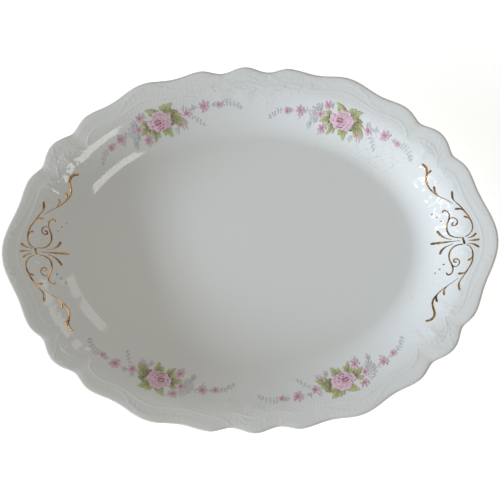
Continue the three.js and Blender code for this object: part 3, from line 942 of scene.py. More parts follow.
@dataclass(frozen=True)
class BurnishedGold:
    """Liquid bright gold, brushed on and fired, rubbed thin by years of washing.

    The eye sees a warm mirror that goes brown where it has nothing bright to mirror, with
    worn, duller patches and fine rubbing marks.
    """

    bright: str = "CFA36F"
    thin: str = "644930"
    roughness: float = 0.14
    worn_roughness: float = 0.36
    patch_mm: float = 5.0
    grain_mm: float = 0.5

    def build(self) -> bpy.types.Material:
        """Makes the material: two golds mixed by patches, with a fine grain."""
        material, tree = new_material("burnished_gold")
        place = add_node(tree, "ShaderNodeTexCoord").outputs["Object"]
        patch = add_node(
            tree, NOISE, inputs={"Vector": place, "Scale": per_metre(self.patch_mm), "Detail": 3.0}
        )
        worn = add_node(
            tree, MAP, inputs={"Value": patch.outputs["Fac"], 1: 0.42, 2: 0.66, 3: 0.0, 4: 1.0}
        )
        colour = add_node(
            tree,
            MIX,
            {"data_type": "RGBA"},
            {0: worn.outputs[0], 6: linear(self.bright), 7: linear(self.thin)},
        )
        rough = add_node(
            tree,
            MAP,
            inputs={"Value": worn.outputs[0], 3: self.roughness, 4: self.worn_roughness},
        )
        grain = add_node(
            tree, NOISE, inputs={"Vector": place, "Scale": per_metre(self.grain_mm), "Detail": 2.0}
        )
        bump = add_node(
            tree,
            "ShaderNodeBump",
            inputs={"Strength": 0.4, "Distance": 0.00002, "Height": grain.outputs["Fac"]},
        )
        shader = add_node(
            tree,
            "ShaderNodeBsdfPrincipled",
            inputs={
                "Base Color": colour.outputs[2],
                "Metallic": 1.0,
                "Roughness": rough.outputs[0],
                "Normal": bump.outputs[0],
            },
        )
        add_node(tree, "ShaderNodeOutputMaterial", inputs={"Surface": shader.outputs[0]})
        return material


# ---------------------------------------------------------------------------
# The body
# ---------------------------------------------------------------------------


@dataclass(frozen=True)
class GlazedBody:
    """The fired body: one closed skin of rings round the rim, with the relief in them."""

    chart: RimChart
    mould: ReliefMould
    wall: float = 4.6
    lip: float = 3.1
    lip_nose: float = 1.3
    lip_reach: float = 5.0
    foot_height: float = 2.4
    foot_outside: float = 5.0
    foot_inside: float = 3.0
    foot_bevel: float = 1.6
    foot_round: float = 0.5
    well_sag: float = 0.12
    craze_trace: float = 0.06
    # Worst patches of crazing: middle, reach along X and along Y, and how strong.
    craze_patches: tuple[tuple[float, float, float, float, float], ...] = (
        (97, 70, 30, 22, 1.0),
        (26, 116, 42, 13, 1.0),
        (-24, 114, 34, 14, 0.85),
        (120, -40, 22, 26, 0.3),
    )
    # Columns in each stretch of a quarter, between the end, the notches and the middle.
    steps: tuple[int, ...] = (152, 80, 300)

    def columns(self) -> Array:
        """Arc positions of the finest rings: even steps between notches, mirrored twice."""
        marks = [0.0, *self.chart.notches(), 1.0]
        spans = zip(marks, marks[1:], self.steps)
        parts = [np.linspace(a, b, n, endpoint=False) for a, b, n in spans]
        q = np.append(np.concatenate(parts), 1.0) * self.chart.quarter
        half = 2 * self.chart.quarter
        back = half - q[:0:-1]
        return np.concatenate([q[:-1], back, q[:-1] + half, back + half])

    def crazed(self, points: Array) -> Array:
        """How crazed the glaze is: bells about the worst patches, and a trace elsewhere.

        Args:
            points: Positions, x, y and z in the last axis.

        Returns:
            One share for each point.
        """
        found = np.full(points.shape[:-1], self.craze_trace)
        for x, y, reach_x, reach_y, share in self.craze_patches:
            run = ((points[..., 0] - x) / reach_x) ** 2 + ((points[..., 1] - y) / reach_y) ** 2
            found = np.maximum(found, share * np.exp(-run))
        return found

    def top_ring(self, skin: Skin, s: Array, d: Array) -> Array:
        """Adds a ring of the top surface, with how much glaze has gathered there and how much of
        the lip's tan, partly painted shade, shows.

        Glaze gathers where the relief lies below the mean of its surroundings.
        """
        rise = self.mould.height(s, d)
        step = 0.9
        around = [
            self.mould.height(s + step, d),
            self.mould.height(s - step, d),
            self.mould.height(s, d + step),
            self.mould.height(s, d - step),
        ]
        pool = np.mean(around, axis=0) - rise
        e = d + self.chart.scallop(s)
        # Tan band by the edge: partly worn glaze, partly painted shade of the lip turning away.
        bare = 0.75 * bell((e - 0.7) / 0.8)
        points = self.chart.place(s, d, self.chart.top(s, d) + rise)
        return skin.add_points(points, pool=pool, bare=bare, crazed=self.crazed(points))

    def build(self, material: bpy.types.Material) -> bpy.types.Object:
        """Builds the skin from the middle of the well over the lip to the underside's middle.

        Args:
            material: The glaze.

        Returns:
            The piece that stands for the CAD body.
        """
        skin, chart = Skin(("pool", "bare", "crazed")), self.chart
        s1 = self.columns()
        s2, s4, s8 = s1[::2], s1[::4], s1[::8]
        rings: list[Array] = []
        for t in (0.08, 0.25, 0.45, 0.65, 0.82, 0.94):
            edge = chart.place(s8, chart.rim_width(s8), 0.0)
            edge = edge * t
            edge[:, 2] = chart.well_height - self.well_sag * (1 - t * t)
            rings.append(skin.add_points(edge))
        for w in (1.0, 0.95, 0.89, 0.83, 0.77, 0.71):
            rings.append(self.top_ring(skin, s4, w * chart.rim_width(s4)))
        shoulder = 0.66 * chart.rim_width(s2)
        cord = chart.cord_line(s2) + 3.2
        for t in np.linspace(0.0, 1.0, 17)[:-1]:
            rings.append(self.top_ring(skin, s2, shoulder + (cord - shoulder) * t))
        cord = chart.cord_line(s1)
        for offset in np.linspace(3.2, -1.6, 13):
            rings.append(self.top_ring(skin, s1, cord + offset))
        nose = self.lip_nose - chart.scallop(s1)
        for t in np.linspace(0.0, 1.0, 14)[1:]:
            rings.append(self.top_ring(skin, s1, cord - 1.6 + (nose - cord + 1.6) * t))
        crown = chart.top(s1, nose) + self.mould.height(s1, nose)
        for turn in (55, 25, -5, -40):
            phi = math.radians(turn)
            d = self.lip_nose * (1 - math.cos(phi)) - chart.scallop(s1)
            z = crown - self.lip / 2 * (1 - math.sin(phi))
            # The lip's rounded nose is painted tan: partly worn glaze, partly painted shade of the
            # edge turning away.
            bare = 0.9 * bell((turn - 10) / 42)
            rings.append(skin.add_points(chart.place(s1, d, z), bare=bare))
        self.underside(skin, rings, s2, s4)
        middle = skin.add_points(
            np.array([[0.0, 0.0, chart.well_height - self.well_sag]])
        )
        bottom = skin.add_points(np.array([[0.0, 0.0, self.foot_height]]))
        skin.fan(rings[0], int(middle[0]), True)
        for a, b in zip(rings, rings[1:]):
            skin.bridge(a, b)
        skin.fan(rings[-1], int(bottom[0]), False)
        piece = skin.finish("china_body", material)
        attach(piece, "root")
        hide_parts("platter_body")
        return piece

    def underside(self, skin: Skin, rings: list[Array], s2: Array, s4: Array) -> None:
        """Adds the rings under the lip, along the wall, over the foot and in to the middle.

        The underside keeps the wall's thickness below the plain top surface, measured
        square to it; the foot is a rounded bank under the edge of the well.
        """
        chart = self.chart
        nose = self.lip_nose - chart.scallop(s2)
        z = chart.top(s2, nose) + chart.roll(s2, nose) - self.lip
        rings.append(skin.add_points(chart.place(s2, nose, z)))

        def under(s: Array, d: Array) -> None:
            """Adds a ring one wall's thickness below the plain top surface."""
            drop = self.wall * np.hypot(1.0, chart.slope(s, d))
            z = chart.top(s, d) - drop
            rings.append(skin.add_points(chart.place(s, d, z)))

        under(s2, self.lip_reach - chart.scallop(s2))
        for w in (0.17, 0.24, 0.32, 0.4, 0.48, 0.56, 0.64, 0.72, 0.79):
            under(s4, w * chart.rim_width(s4))
        bevel, foot = self.foot_bevel, self.foot_height
        start, stop = -self.foot_outside, self.foot_inside
        bank = [
            (start - 2.2, foot + 0.55, 0.0),
            (start, foot - 0.1, 0.0),
            (start + 0.35 * bevel, 0.5 * foot, 0.0),
            (start + 0.7 * bevel, self.foot_round * 0.5, 0.5),
            (start + bevel + 0.4, 0.0, 1.0),
            (stop - bevel - 0.4, 0.0, 1.0),
            (stop - 0.7 * bevel, self.foot_round * 0.5, 0.5),
            (stop - 0.35 * bevel, 0.5 * foot, 0.0),
            (stop, foot - 0.1, 0.0),
            (stop + 2.0, foot, 0.0),
        ]
        for offset, z, bare in bank:
            d = chart.rim_width(s4) + offset
            rings.append(skin.add_points(chart.place(s4, d, z), bare=bare))
        inner = chart.place(s4[::2], chart.rim_width(s4[::2]) + stop + 4, self.foot_height)
        for t in (1.0, 0.75, 0.5, 0.25, 0.08):
            ring = inner * t
            ring[:, 2] = self.foot_height
            rings.append(skin.add_points(ring))


# ---------------------------------------------------------------------------
# Films laid on the glaze
# ---------------------------------------------------------------------------


@dataclass(frozen=True)
class Draughtsman:
    """Lays flat figures, drawn in distance along the rim and inset, on to the relief."""

    chart: RimChart
    mould: ReliefMould
    sunk: float = 0.05  # how far a film's underside lies in the glaze

    def lay(self, s: Array, d: Array, lift: Array) -> Array:
        """Points lifted squarely off the relief by lift.

        Returns:
            Points, with x, y and z in the last axis.
        """
        slope = self.chart.slope(s, d)
        run = np.hypot(1.0, slope)
        z = self.chart.top(s, d) + self.mould.height(s, d) + lift / run
        return self.chart.place(s, d + lift * slope / run, z)

    def film(self, skin: Skin, s: Array, d: Array, lift: Array, **values: Array) -> None:
        """Adds a film over a grid: the top at its lift, the underside sunk in the glaze."""
        top = self.lay(s, d, lift)
        bottom = self.lay(s, d, np.full_like(s, -self.sunk))
        skin.add_film(top, bottom, **values)


def flowing_curve(points: Sequence[Sequence[float]], spacing: float) -> Array:
    """A smooth curve through points, sampled at even distances.

    Each stretch is a cubic whose end tangents come from the neighbouring points, weighted
    by the square root of their distances, so that it doesn't overshoot.

    Args:
        points: Two or more points of two coordinates.
        spacing: Largest distance between samples.

    Returns:
        Samples by coordinates.
    """
    p = np.asarray(points, float)
    p = np.vstack([2 * p[0] - p[1], p, 2 * p[-1] - p[-2]])
    pieces = []
    t = np.linspace(0.0, 1.0, 24, endpoint=False)[:, None]
    for p0, p1, p2, p3 in zip(p, p[1:], p[2:], p[3:]):
        k0, k1, k2 = (math.sqrt(np.linalg.norm(b - a)) for a, b in ((p0, p1), (p1, p2), (p2, p3)))
        m1 = ((p1 - p0) / k0 - (p2 - p0) / (k0 + k1) + (p2 - p1) / k1) * k1
        m2 = ((p2 - p1) / k1 - (p3 - p1) / (k1 + k2) + (p3 - p2) / k2) * k1
        pieces.append(
            (2 * t**3 - 3 * t**2 + 1) * p1
            + (t**3 - 2 * t**2 + t) * m1
            + (3 * t**2 - 2 * t**3) * p2
            + (t**3 - t**2) * m2
        )
    dense = np.vstack([*pieces, p[-2]])
    gone = np.concatenate([[0.0], np.cumsum(np.linalg.norm(np.diff(dense, axis=0), axis=1))])
    count = max(3, math.ceil(gone[-1] / spacing) + 1)
    even = np.linspace(0.0, gone[-1], count)
    return np.stack([np.interp(even, gone, dense[:, k]) for k in range(2)], axis=1)


class Touch(Enum):
    """How the brush is pressed along a stroke of gold."""

    CLUB = "thin, swelling to a round club end"
    LINE = "even, thinning a little at both ends"
    SPROUT = "thin, swelling in its last third and drawn to a soft point"
    DOT = "one short dab"


@dataclass(frozen=True)
class Stroke:
    """One touch of the brush through points (u, d), with its thin and full widths."""

    touch: Touch
    thin: float
    full: float
    points: tuple[tuple[float, float], ...]

    def width(self, t: Array) -> Array:
        """Width at share t of the stroke, rounded off at both ends."""
        if self.touch is Touch.CLUB:
            swell = smooth_step((t - 0.1) / 0.75)
        elif self.touch is Touch.LINE:
            swell = np.sin(math.pi * t) ** 0.6
        elif self.touch is Touch.SPROUT:
            swell = smooth_step((t - 0.3) / 0.5) * (1 - 0.35 * smooth_step((t - 0.85) / 0.15))
        else:
            swell = np.ones_like(t)
        return self.thin + (self.full - self.thin) * swell


def scroll_strokes() -> dict[str, tuple[Stroke, ...]]:
    """The brush strokes of one gilt scroll, by the piece they make.

    u runs along the rim from the end of the long axis; "back" is the half on its far side
    at the right end.
    """
    thin, fine, curl, leaf = 0.42, 0.6, 1.0, 1.5
    club, line, sprout, dot = Touch.CLUB, Touch.LINE, Touch.SPROUT, Touch.DOT
    strokes = {
        "tie": (
            Stroke(dot, 1.5, 1.5, ((-2.9, 18.9), (0.2, 19.4), (3.3, 19.9))),
        ),
        "fan_outer_front": (
            Stroke(club, thin, leaf, ((-2.2, 17.2), (-3.4, 13), (-5.8, 9.6))),
        ),
        "fan_outer_middle": (
            Stroke(club, thin, leaf, ((0.1, 16.8), (-0.1, 13), (0.3, 9.2))),
        ),
        "fan_outer_back": (
            Stroke(club, thin, leaf, ((2.1, 17), (3, 13.8), (5.4, 11))),
        ),
        "fan_inner_front": (
            Stroke(club, thin, leaf, ((-1.6, 25.5), (-4.6, 30.4), (-8, 32.6), (-12.3, 33.6))),
        ),
        "fan_inner_middle": (
            Stroke(club, thin, 1.2 * leaf, ((0.4, 21.6), (0.5, 30), (0.5, 39.6))),
        ),
        "fan_inner_back": (
            Stroke(club, thin, leaf, ((2.2, 26.4), (4.8, 30.1), (8.8, 32.7), (14, 34.4))),
        ),
        "ring_back": (
            Stroke(line, thin, curl, ((3.4, 18.6), (5, 15.8), (8.5, 13.4), (13, 12.8),
                   (19, 13.8), (25, 15.6), (31, 17.4), (35, 18.8))),
            Stroke(sprout, fine, leaf, ((31, 17.4), (35, 18.8), (38.5, 19.3), (44.3, 17.6))),
            Stroke(sprout, fine, leaf, ((15.8, 13.2), (18.6, 14.6), (20.8, 17))),
            Stroke(sprout, fine, leaf, ((24.4, 15.4), (27.6, 17.6), (29.2, 20.8))),
        ),
        "ring_front": (
            Stroke(line, thin, curl, ((-3.1, 18.2), (-5, 15.7), (-9, 14), (-14, 13.5),
                   (-19, 14), (-25, 15.8), (-30, 17.2), (-35.5, 18.6))),
            Stroke(sprout, fine, leaf, ((-30, 17.2), (-35.5, 18.6), (-39.5, 18.2), (-43, 16.6))),
            Stroke(sprout, fine, leaf, ((-12, 13.6), (-14.8, 14.4), (-17, 16.6))),
            Stroke(sprout, fine, leaf, ((-25, 15.8), (-28, 17.8), (-29.4, 21))),
        ),
        "volute_back": (
            Stroke(line, fine, curl, ((3.3, 20.6), (3.9, 24), (7, 27.2), (12.4, 28.4),
                   (17.5, 27.8), (21.5, 26.2), (26, 24.9), (30, 25.4), (31.8, 27))),
            Stroke(dot, curl, curl, ((30, 25.4), (31.8, 27), (30.2, 28.3))),
            Stroke(sprout, fine, curl, ((21.6, 26.2), (22.6, 23.6), (20.4, 21.8), (17.4, 21.5),
                   (15, 23.1), (15.6, 24.8), (17.6, 24.6), (18, 23.5))),
        ),
        "volute_front": (
            Stroke(line, fine, curl, ((-2.9, 19.8), (-3.8, 24.2), (-7.4, 27), (-12.6, 28),
                   (-17.8, 27.3), (-22, 25.6), (-26.4, 24.4), (-30.4, 24.8), (-32.2, 26.4))),
            Stroke(dot, curl, curl, ((-30.4, 24.8), (-32.2, 26.4), (-30.4, 27.9))),
            Stroke(sprout, fine, curl, ((-22, 25.6), (-23.6, 23.6), (-21.6, 21.8),
                   (-18.6, 21.5), (-16.2, 23), (-16.9, 24.8), (-18.8, 24.8),
                   (-19.6, 23.6), (-18.4, 23.3))),
        ),
        "plume_back": (
            Stroke(club, thin, leaf, ((34, 20.6), (40, 23.1), (45, 25.6), (50.5, 27.3),
                   (57, 28), (62.5, 27.4), (66.5, 25.4), (70, 23), (73.5, 22), (77.8, 22.2))),
            Stroke(sprout, fine, leaf, ((46.5, 26.2), (51.5, 26.4), (56.2, 25.2))),
            Stroke(sprout, fine, leaf, ((65.8, 25.8), (67.8, 23.8), (68.4, 20.6))),
        ),
        "plume_front": (
            Stroke(club, thin, leaf, ((-33, 20.2), (-37, 22), (-42, 24.6), (-48, 27),
                   (-55, 28.4), (-60.5, 28.4), (-65, 26.4), (-68.5, 23.8), (-72, 22.6),
                   (-75.5, 22.9), (-79, 24.8))),
            Stroke(sprout, fine, leaf, ((-42.5, 24.8), (-47, 25.4), (-51.4, 24.2))),
            Stroke(sprout, fine, leaf, ((-52, 28), (-56, 27.6), (-59.4, 26))),
        ),
    }
    for number, (u, d) in enumerate(((22.6, 30.5), (28, 32.2), (33, 34.3)), start=1):
        for half, side in (("back", 1), ("front", -1)):
            strokes[f"dot_{half}_{number}"] = (
                Stroke(dot, 1.3, 1.3, ((side * (u - 0.7), d - 0.1), (side * (u + 0.7), d + 0.1))),
            )
    return strokes


class End(Enum):
    """The two ends of the platter."""

    RIGHT = "right"
    LEFT = "left"


@dataclass(frozen=True)
class GiltScroll:
    """One end's gilding: every stroke is its own low mound of gold on the glaze."""

    chart: RimChart
    hand: Draughtsman
    end: End
    hand_laid_shift: float = 1.8  # the left scroll sits this far off the long axis
    thickness: float = 0.075
    edge_lift: float = 0.012
    spacing: float = 0.55
    across: int = 7

    def add_stroke(self, skin: Skin, stroke: Stroke, start: float, layer: float) -> None:
        """Adds one stroke as a domed film.

        The ribbon runs square to the curve on both sides; its height is a dome across and
        its width falls to a rounded tip over half a width at each end.

        Args:
            skin: Where the film goes.
            stroke: The touch of the brush.
            start: Arc position of u = 0.
            layer: Extra lift, so that crossing strokes don't share a surface.
        """
        line = flowing_curve(stroke.points, self.spacing)
        u, d = line[:, 0], line[:, 1]
        shrink = self.chart.shrink(start + u, d)
        ahead = np.gradient(line, axis=0)
        ahead[:, 0] *= shrink
        length = np.concatenate([[0.0], np.cumsum(np.hypot(ahead[1:, 0], ahead[1:, 1]))])
        t = length / length[-1]
        ahead /= np.linalg.norm(ahead, axis=1, keepdims=True)
        width = stroke.width(t)
        room = np.minimum(length, length[-1] - length) / (0.5 * np.maximum(width, 0.3))
        width = width * np.sqrt(1 - (1 - np.clip(room, 0.06, 1.0)) ** 2)
        a = np.linspace(-1.0, 1.0, self.across)
        reach = width[:, None] / 2 * a
        s = start + u[:, None] - ahead[:, 1:2] * reach / shrink[:, None]
        inset = d[:, None] + ahead[:, 0:1] * reach
        dome = self.edge_lift + self.thickness * (1 - a**2) * np.clip(width, 0, 1)[:, None]
        self.hand.film(skin, s, inset, dome + layer)

    def build(self, material: bpy.types.Material) -> None:
        """Builds and dresses the nineteen strokes of this end."""
        right = self.end is End.RIGHT
        start = 0.0 if right else 2 * self.chart.quarter - self.hand_laid_shift
        swap = {} if right else {"back": "front", "front": "back"}
        for stroke_name, strokes in scroll_strokes().items():
            words = [swap.get(word, word) for word in stroke_name.split("_")]
            name = f"{self.end.value}_{'_'.join(words)}"
            skin = Skin()
            for order, stroke in enumerate(strokes):
                self.add_stroke(skin, stroke, start, 0.004 * order)
            piece = skin.finish(f"gold_{name}", material)
            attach(piece, "root")
            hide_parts(f"gilt_{name}")


class Ink(Enum):
    """Enamel colours of the print."""

    PETAL_PALE = "EACBD9"
    PETAL = "DFB0C8"
    PETAL_DEEP = "BC6C97"
    MAGENTA = "A33A74"
    MAROON = "6B2A3E"
    STAMEN = "D9D383"
    LEAF_LIGHT = "C2C884"
    LEAF = "A3AB5C"
    LEAF_DARK = "686A30"
    LEAF_BROWN = "5E4630"
    SPRIG = "CDCDCF"
    SPRIG_DARK = "B4B4B8"

    def rgba(self) -> Array:
        """The colour in linear light."""
        return np.array(linear(self.value))


@dataclass
class FloralTransfer:
    """One printed spray, drawn about the heart of its rose.

    u runs along the rim and v towards the well. Each petal and leaf is a thin film of its
    own on top of the last, and each carries its own shading in the ink value.
    """

    chart: RimChart
    hand: Draughtsman
    name: str
    quarters: float
    inset: float
    base_lift: float = 0.03
    layer_step: float = 0.0012

    def __post_init__(self) -> None:
        """Starts an empty print."""
        self.skin = Skin(("ink",))
        self.layer = 0
        self.random = np.random.default_rng(11)

    def blade(
        self,
        base: tuple[float, float],
        tip: tuple[float, float],
        width: float,
        inks: tuple[Ink, Ink, Ink],
        fullness: float = 1.0,
        bow: float = 0.0,
        teeth: int = 0,
        vein: float = 0.0,
        stations: int = 9,
        across: int = 5,
    ) -> None:
        """Adds a leaf or a petal.

        The outline's half width is a sine of t^fullness, so that a fullness over 1 makes it
        widest near its tip; teeth ripple it; the spine bows sideways as a half sine. The ink
        goes from base to tip, with the edge ink towards the sides and a vein down the middle.

        Args:
            base: Where it grows from.
            tip: Where it ends.
            width: Its full width.
            inks: Ink at the base, at the tip and along the edges.
            fullness: Where it is widest.
            bow: Sideways bow of the spine, as a share of the length.
            teeth: How many teeth each edge has.
            vein: How strongly the base ink shows along the middle.
            stations: Rows along it.
            across: Places across it.
        """
        t = np.linspace(0.0, 1.0, stations)[:, None]
        a = np.linspace(-1.0, 1.0, across)[None, :]
        start, stop = np.array(base), np.array(tip)
        run = stop - start
        length = float(np.hypot(*run))
        side = np.array([-run[1], run[0]]) / length
        outline = np.sin(math.pi * np.clip(t, 0.015, 0.985) ** fullness)
        if teeth:
            outline = outline * (0.72 + 0.4 * np.abs(np.sin(math.pi * teeth * t)))
        half = width / 2 * outline
        bowed = bow * length * np.sin(math.pi * t)
        u = start[0] + run[0] * t + side[0] * (half * a + bowed)
        v = start[1] + run[1] * t + side[1] * (half * a + bowed)
        first, last, rim = (ink.rgba() for ink in inks)
        shade = smooth_step(t * 1.15)[..., None]
        colour = first * (1 - shade) + last * shade
        edge = (np.abs(a) ** 3)[..., None] * smooth_step(t * 2)[..., None]
        colour = colour * (1 - 0.75 * edge) + rim * 0.75 * edge
        if vein:
            line = vein * (bell(a / 0.3) * (1 - 0.6 * t))[..., None]
            colour = colour * (1 - line) + first * line
        colour = np.clip(colour * self.random.uniform(0.94, 1.05), 0.0, 1.0)
        colour[..., 3] = 1.0
        self.layer += 1
        lift = np.full_like(u, self.base_lift + self.layer_step * self.layer)
        s = self.quarters * self.chart.quarter + u
        self.hand.film(self.skin, s, self.inset + v, lift, ink=colour)

    def leaf(
        self,
        base: tuple[float, float],
        tip: tuple[float, float],
        width: float,
        dark: bool = False,
        lobes: int = 3,
    ) -> None:
        """Adds a lobed leaf: side lobes spread from its base, then the long middle lobe."""
        inks = (Ink.LEAF_DARK, Ink.LEAF_LIGHT, Ink.LEAF)
        if dark:
            inks = (Ink.LEAF_BROWN, Ink.LEAF, Ink.LEAF_DARK)
        start, run = np.array(base), np.array(tip) - np.array(base)
        for k in range(lobes // 2, 0, -1):
            for sign in (-1, 1):
                turn = sign * math.radians(30 * k + 8 + self.random.uniform(-6, 6))
                c, n = math.cos(turn), math.sin(turn)
                reach = 0.84 - 0.17 * k + self.random.uniform(-0.05, 0.05)
                lobe = start + reach * np.array(
                    [c * run[0] - n * run[1], n * run[0] + c * run[1]]
                )
                root = start + 0.05 * run
                self.blade(
                    tuple(root), tuple(lobe), width * 0.72, inks, 1.25, 0.08 * sign, 3, 0.55, 12
                )
        self.blade(base, tip, width * 0.9, inks, 1.1, 0.03, 5, 0.7, 17, 7)

    def blossom(
        self,
        centre: tuple[float, float],
        size_u: float,
        size_v: float,
        turn: float,
        pale: bool = False,
        petals: int = 7,
    ) -> None:
        """Adds a small flower: petals round a dark heart, with a spot of stamens."""
        cu, cv = centre
        inks = (Ink.PETAL_DEEP, Ink.PETAL, Ink.PETAL_PALE)
        if pale:
            inks = (Ink.PETAL_DEEP, Ink.PETAL_PALE, Ink.PETAL_PALE)
        for k in range(petals):
            angle = math.radians(turn + 360 / petals * k)
            swing = self.random.uniform(0.92, 1.28)
            angle += self.random.uniform(-0.2, 0.2)
            tip = (
                cu + size_u / 2 * swing * math.cos(angle),
                cv + size_v / 2 * swing * math.sin(angle),
            )
            width = 1.42 * math.hypot(size_u, size_v) / petals
            self.blade((cu, cv), tip, width, inks, 1.7, 0.06, 3, 0.45, 11, 5)
        for k in range(3):
            angle = math.radians(turn + 40 + 120 * k)
            tip = (cu + 0.16 * size_u * math.cos(angle), cv + 0.16 * size_v * math.sin(angle))
            inks = (Ink.MAGENTA, Ink.PETAL_DEEP, Ink.MAGENTA)
            self.blade((cu, cv), tip, 0.9, inks, 1.0, stations=4, across=3)
        dab = (Ink.LEAF_DARK, Ink.STAMEN, Ink.LEAF)
        self.blade((cu - 0.5, cv), (cu + 0.5, cv), 0.8, dab, 1.0, stations=4, across=3)

    def rose(self) -> None:
        """Adds the rose: three rows of ruffled petals, a split heart and its stamens."""
        outer = (Ink.PETAL_DEEP, Ink.PETAL_PALE, Ink.PETAL)
        inner = (Ink.MAGENTA, Ink.PETAL_PALE, Ink.PETAL_DEEP)
        rows = (
            (14, -1.9, 0.1, 10.6, 5.9, 4.0, outer),
            (12, -2.0, 0.3, 8.7, 4.8, 3.5, inner),
            (10, -1.0, 0.2, 6.6, 3.8, 3.0, outer),
            (8, -0.2, -0.1, 4.9, 2.9, 2.7, inner),
            (7, 0.1, -0.2, 3.7, 2.1, 2.0, (Ink.MAGENTA, Ink.PETAL, Ink.PETAL_PALE)),
        )
        for count, cu, cv, reach_u, reach_v, width, inks in rows:
            for k in range(count):
                angle = 2 * math.pi * (k + 0.31 * count) / count
                swing = self.random.uniform(0.84, 1.1)
                angle += self.random.uniform(-0.12, 0.12)
                root = (
                    cu + 0.25 * reach_u * math.cos(angle),
                    cv + 0.25 * reach_v * math.sin(angle),
                )
                tip = (
                    cu + reach_u * swing * math.cos(angle),
                    cv + reach_v * swing * math.sin(angle),
                )
                wide = width * (1 + 0.25 * abs(math.sin(angle)))
                bow = self.random.uniform(-0.1, 0.1)
                self.blade(root, tip, wide, inks, 1.9, bow, 4, 0.42, 13, 7)
        heart = (Ink.MAGENTA, Ink.MAGENTA, Ink.PETAL_DEEP)
        for u0, v0, u1, v1, wide in (
            (-2.6, -0.6, 0.6, -1.3, 1.3),
            (0.2, -1.2, 3.1, -0.5, 1.2),
            (-2.8, 0.2, 0.2, 1.1, 1.2),
            (0.3, 1.1, 3.3, 0.3, 1.3),
            (-3.0, 3.2, -0.6, 4.3, 1.0),
            (-1.0, 4.2, 1.2, 3.4, 0.9),
            (-4.6, 1.4, -2.8, 2.6, 0.8),
            (-5.6, -0.2, -4.2, 0.8, 0.7),
            (-1.4, 2.2, 0.8, 2.6, 0.7),
            (4.4, 1.8, 5.6, 0.6, 0.7),
        ):
            self.blade((u0, v0), (u1, v1), wide, heart, 1.0, 0.12, stations=6, across=3)
        dab = (Ink.LEAF, Ink.STAMEN, Ink.STAMEN)
        for u0, v0 in ((-0.9, -0.2), (0.1, -0.5), (1.0, -0.1), (0.2, 0.35)):
            self.blade((u0 - 0.55, v0), (u0 + 0.55, v0), 0.75, dab, stations=4, across=3)

    def sprig(
        self, points: Sequence[tuple[float, float]], leaf: float, pitch: float = 2.9
    ) -> None:
        """Adds a grey stem with pairs of small leaves along it and one at its end."""
        line = flowing_curve(points, pitch)
        inks = (Ink.SPRIG_DARK, Ink.SPRIG, Ink.SPRIG)
        for a, b in zip(line, line[1:]):
            self.blade(tuple(a), tuple(b), 0.45, inks, stations=4, across=3)
            ahead = (b - a) / np.linalg.norm(b - a)
            for sign in (-1, 1):
                turn = sign * math.radians(self.random.uniform(30, 75))
                c, n = math.cos(turn), math.sin(turn)
                way = np.array([c * ahead[0] - n * ahead[1], n * ahead[0] + c * ahead[1]])
                reach = leaf * self.random.uniform(0.7, 1.3)
                tip = b + reach * way
                self.blade(tuple(b), tuple(tip), 0.58 * leaf, inks, 1.2, 0.1 * sign, 2, 0.3, 9, 5)
        tip = line[-1] + (line[-1] - line[-2]) / np.linalg.norm(line[-1] - line[-2]) * leaf
        self.blade(tuple(line[-1]), tuple(tip), 0.5 * leaf, inks, stations=6, across=3)

    def tuft(
        self, base: tuple[float, float], aim: tuple[float, float], count: int, spread: float
    ) -> None:
        """Adds grey leaves that fan from one point about an aim."""
        run = np.array(aim) - np.array(base)
        inks = (Ink.SPRIG_DARK, Ink.SPRIG, Ink.SPRIG)
        for k in range(count):
            share = 0.0 if count == 1 else 2 * k / (count - 1) - 1
            turn = math.radians(share * spread)
            c, n = math.cos(turn), math.sin(turn)
            reach = 1 - 0.22 * abs(share)
            tip = np.array(base) + reach * np.array(
                [c * run[0] - n * run[1], n * run[0] + c * run[1]]
            )
            length = float(np.hypot(*run))
            self.blade(base, tuple(tip), 0.42 * length, inks, 1.1, 0.05, 3, 0.35, 11, 5)

    def build(self, material: bpy.types.Material) -> None:
        """Draws the whole spray, from the sprigs at the back to the rose on top."""
        self.sprig(((-51, -2), (-56, -2.6), (-61, -2), (-67, 0.4)), 2.4)
        self.sprig(((-28, 0), (-29.4, 3.4), (-32.4, 6), (-35.4, 8)), 2.3)
        self.sprig(((46, 0.8), (50, 1.6), (54, 3.4), (57, 5.4)), 2.2)
        self.sprig(((-34, -1.8), (-30, -2.2), (-26, -1.4)), 1.9)
        self.sprig(((23, 0), (27, -0.6), (30.5, -0.4)), 1.9)
        self.sprig(((-44, -2.2), (-47, -2.2)), 1.8)
        self.sprig(((38, 0.4), (41, 0.9)), 1.8)
        self.tuft((-22, -1.4), (-22.8, -5.4), 3, 36)
        self.tuft((-29.4, -1.4), (-31.4, -4.8), 2, 34)
        self.tuft((-19, 5.4), (-22, 9.4), 3, 44)
        self.tuft((-12, 6.4), (-13.4, 11), 3, 34)
        self.tuft((16.5, -2.4), (21.8, -5.2), 4, 40)
        self.tuft((19, -1.4), (25.2, -3.4), 3, 36)
        self.tuft((18.4, 1), (26.4, 1.8), 5, 48)
        self.tuft((22.4, 2.4), (23.8, 7.4), 3, 40)
        self.tuft((24.4, 5.4), (25.4, 10.4), 3, 30)
        self.tuft((13.6, 8.4), (15.8, 12.4), 3, 42)
        self.tuft((-39, -2), (-42.4, -4.8), 2, 44)
        self.tuft((-38.6, -2), (-39.4, 3), 2, 36)
        self.tuft((33.5, 0), (31.6, -3.9), 2, 36)
        self.tuft((33.5, 0), (33.6, 5.2), 3, 44)
        self.tuft((34, 0), (37.6, 3.2), 2, 30)
        self.tuft((9.4, -5.6), (11, -9.2), 2, 30)
        self.blossom((-50.5, -1.8), 5.6, 4, 20)
        self.blossom((-38.5, -2), 8.4, 6, 60)
        self.blossom((-24.2, 0), 7.2, 6, 10, pale=True)
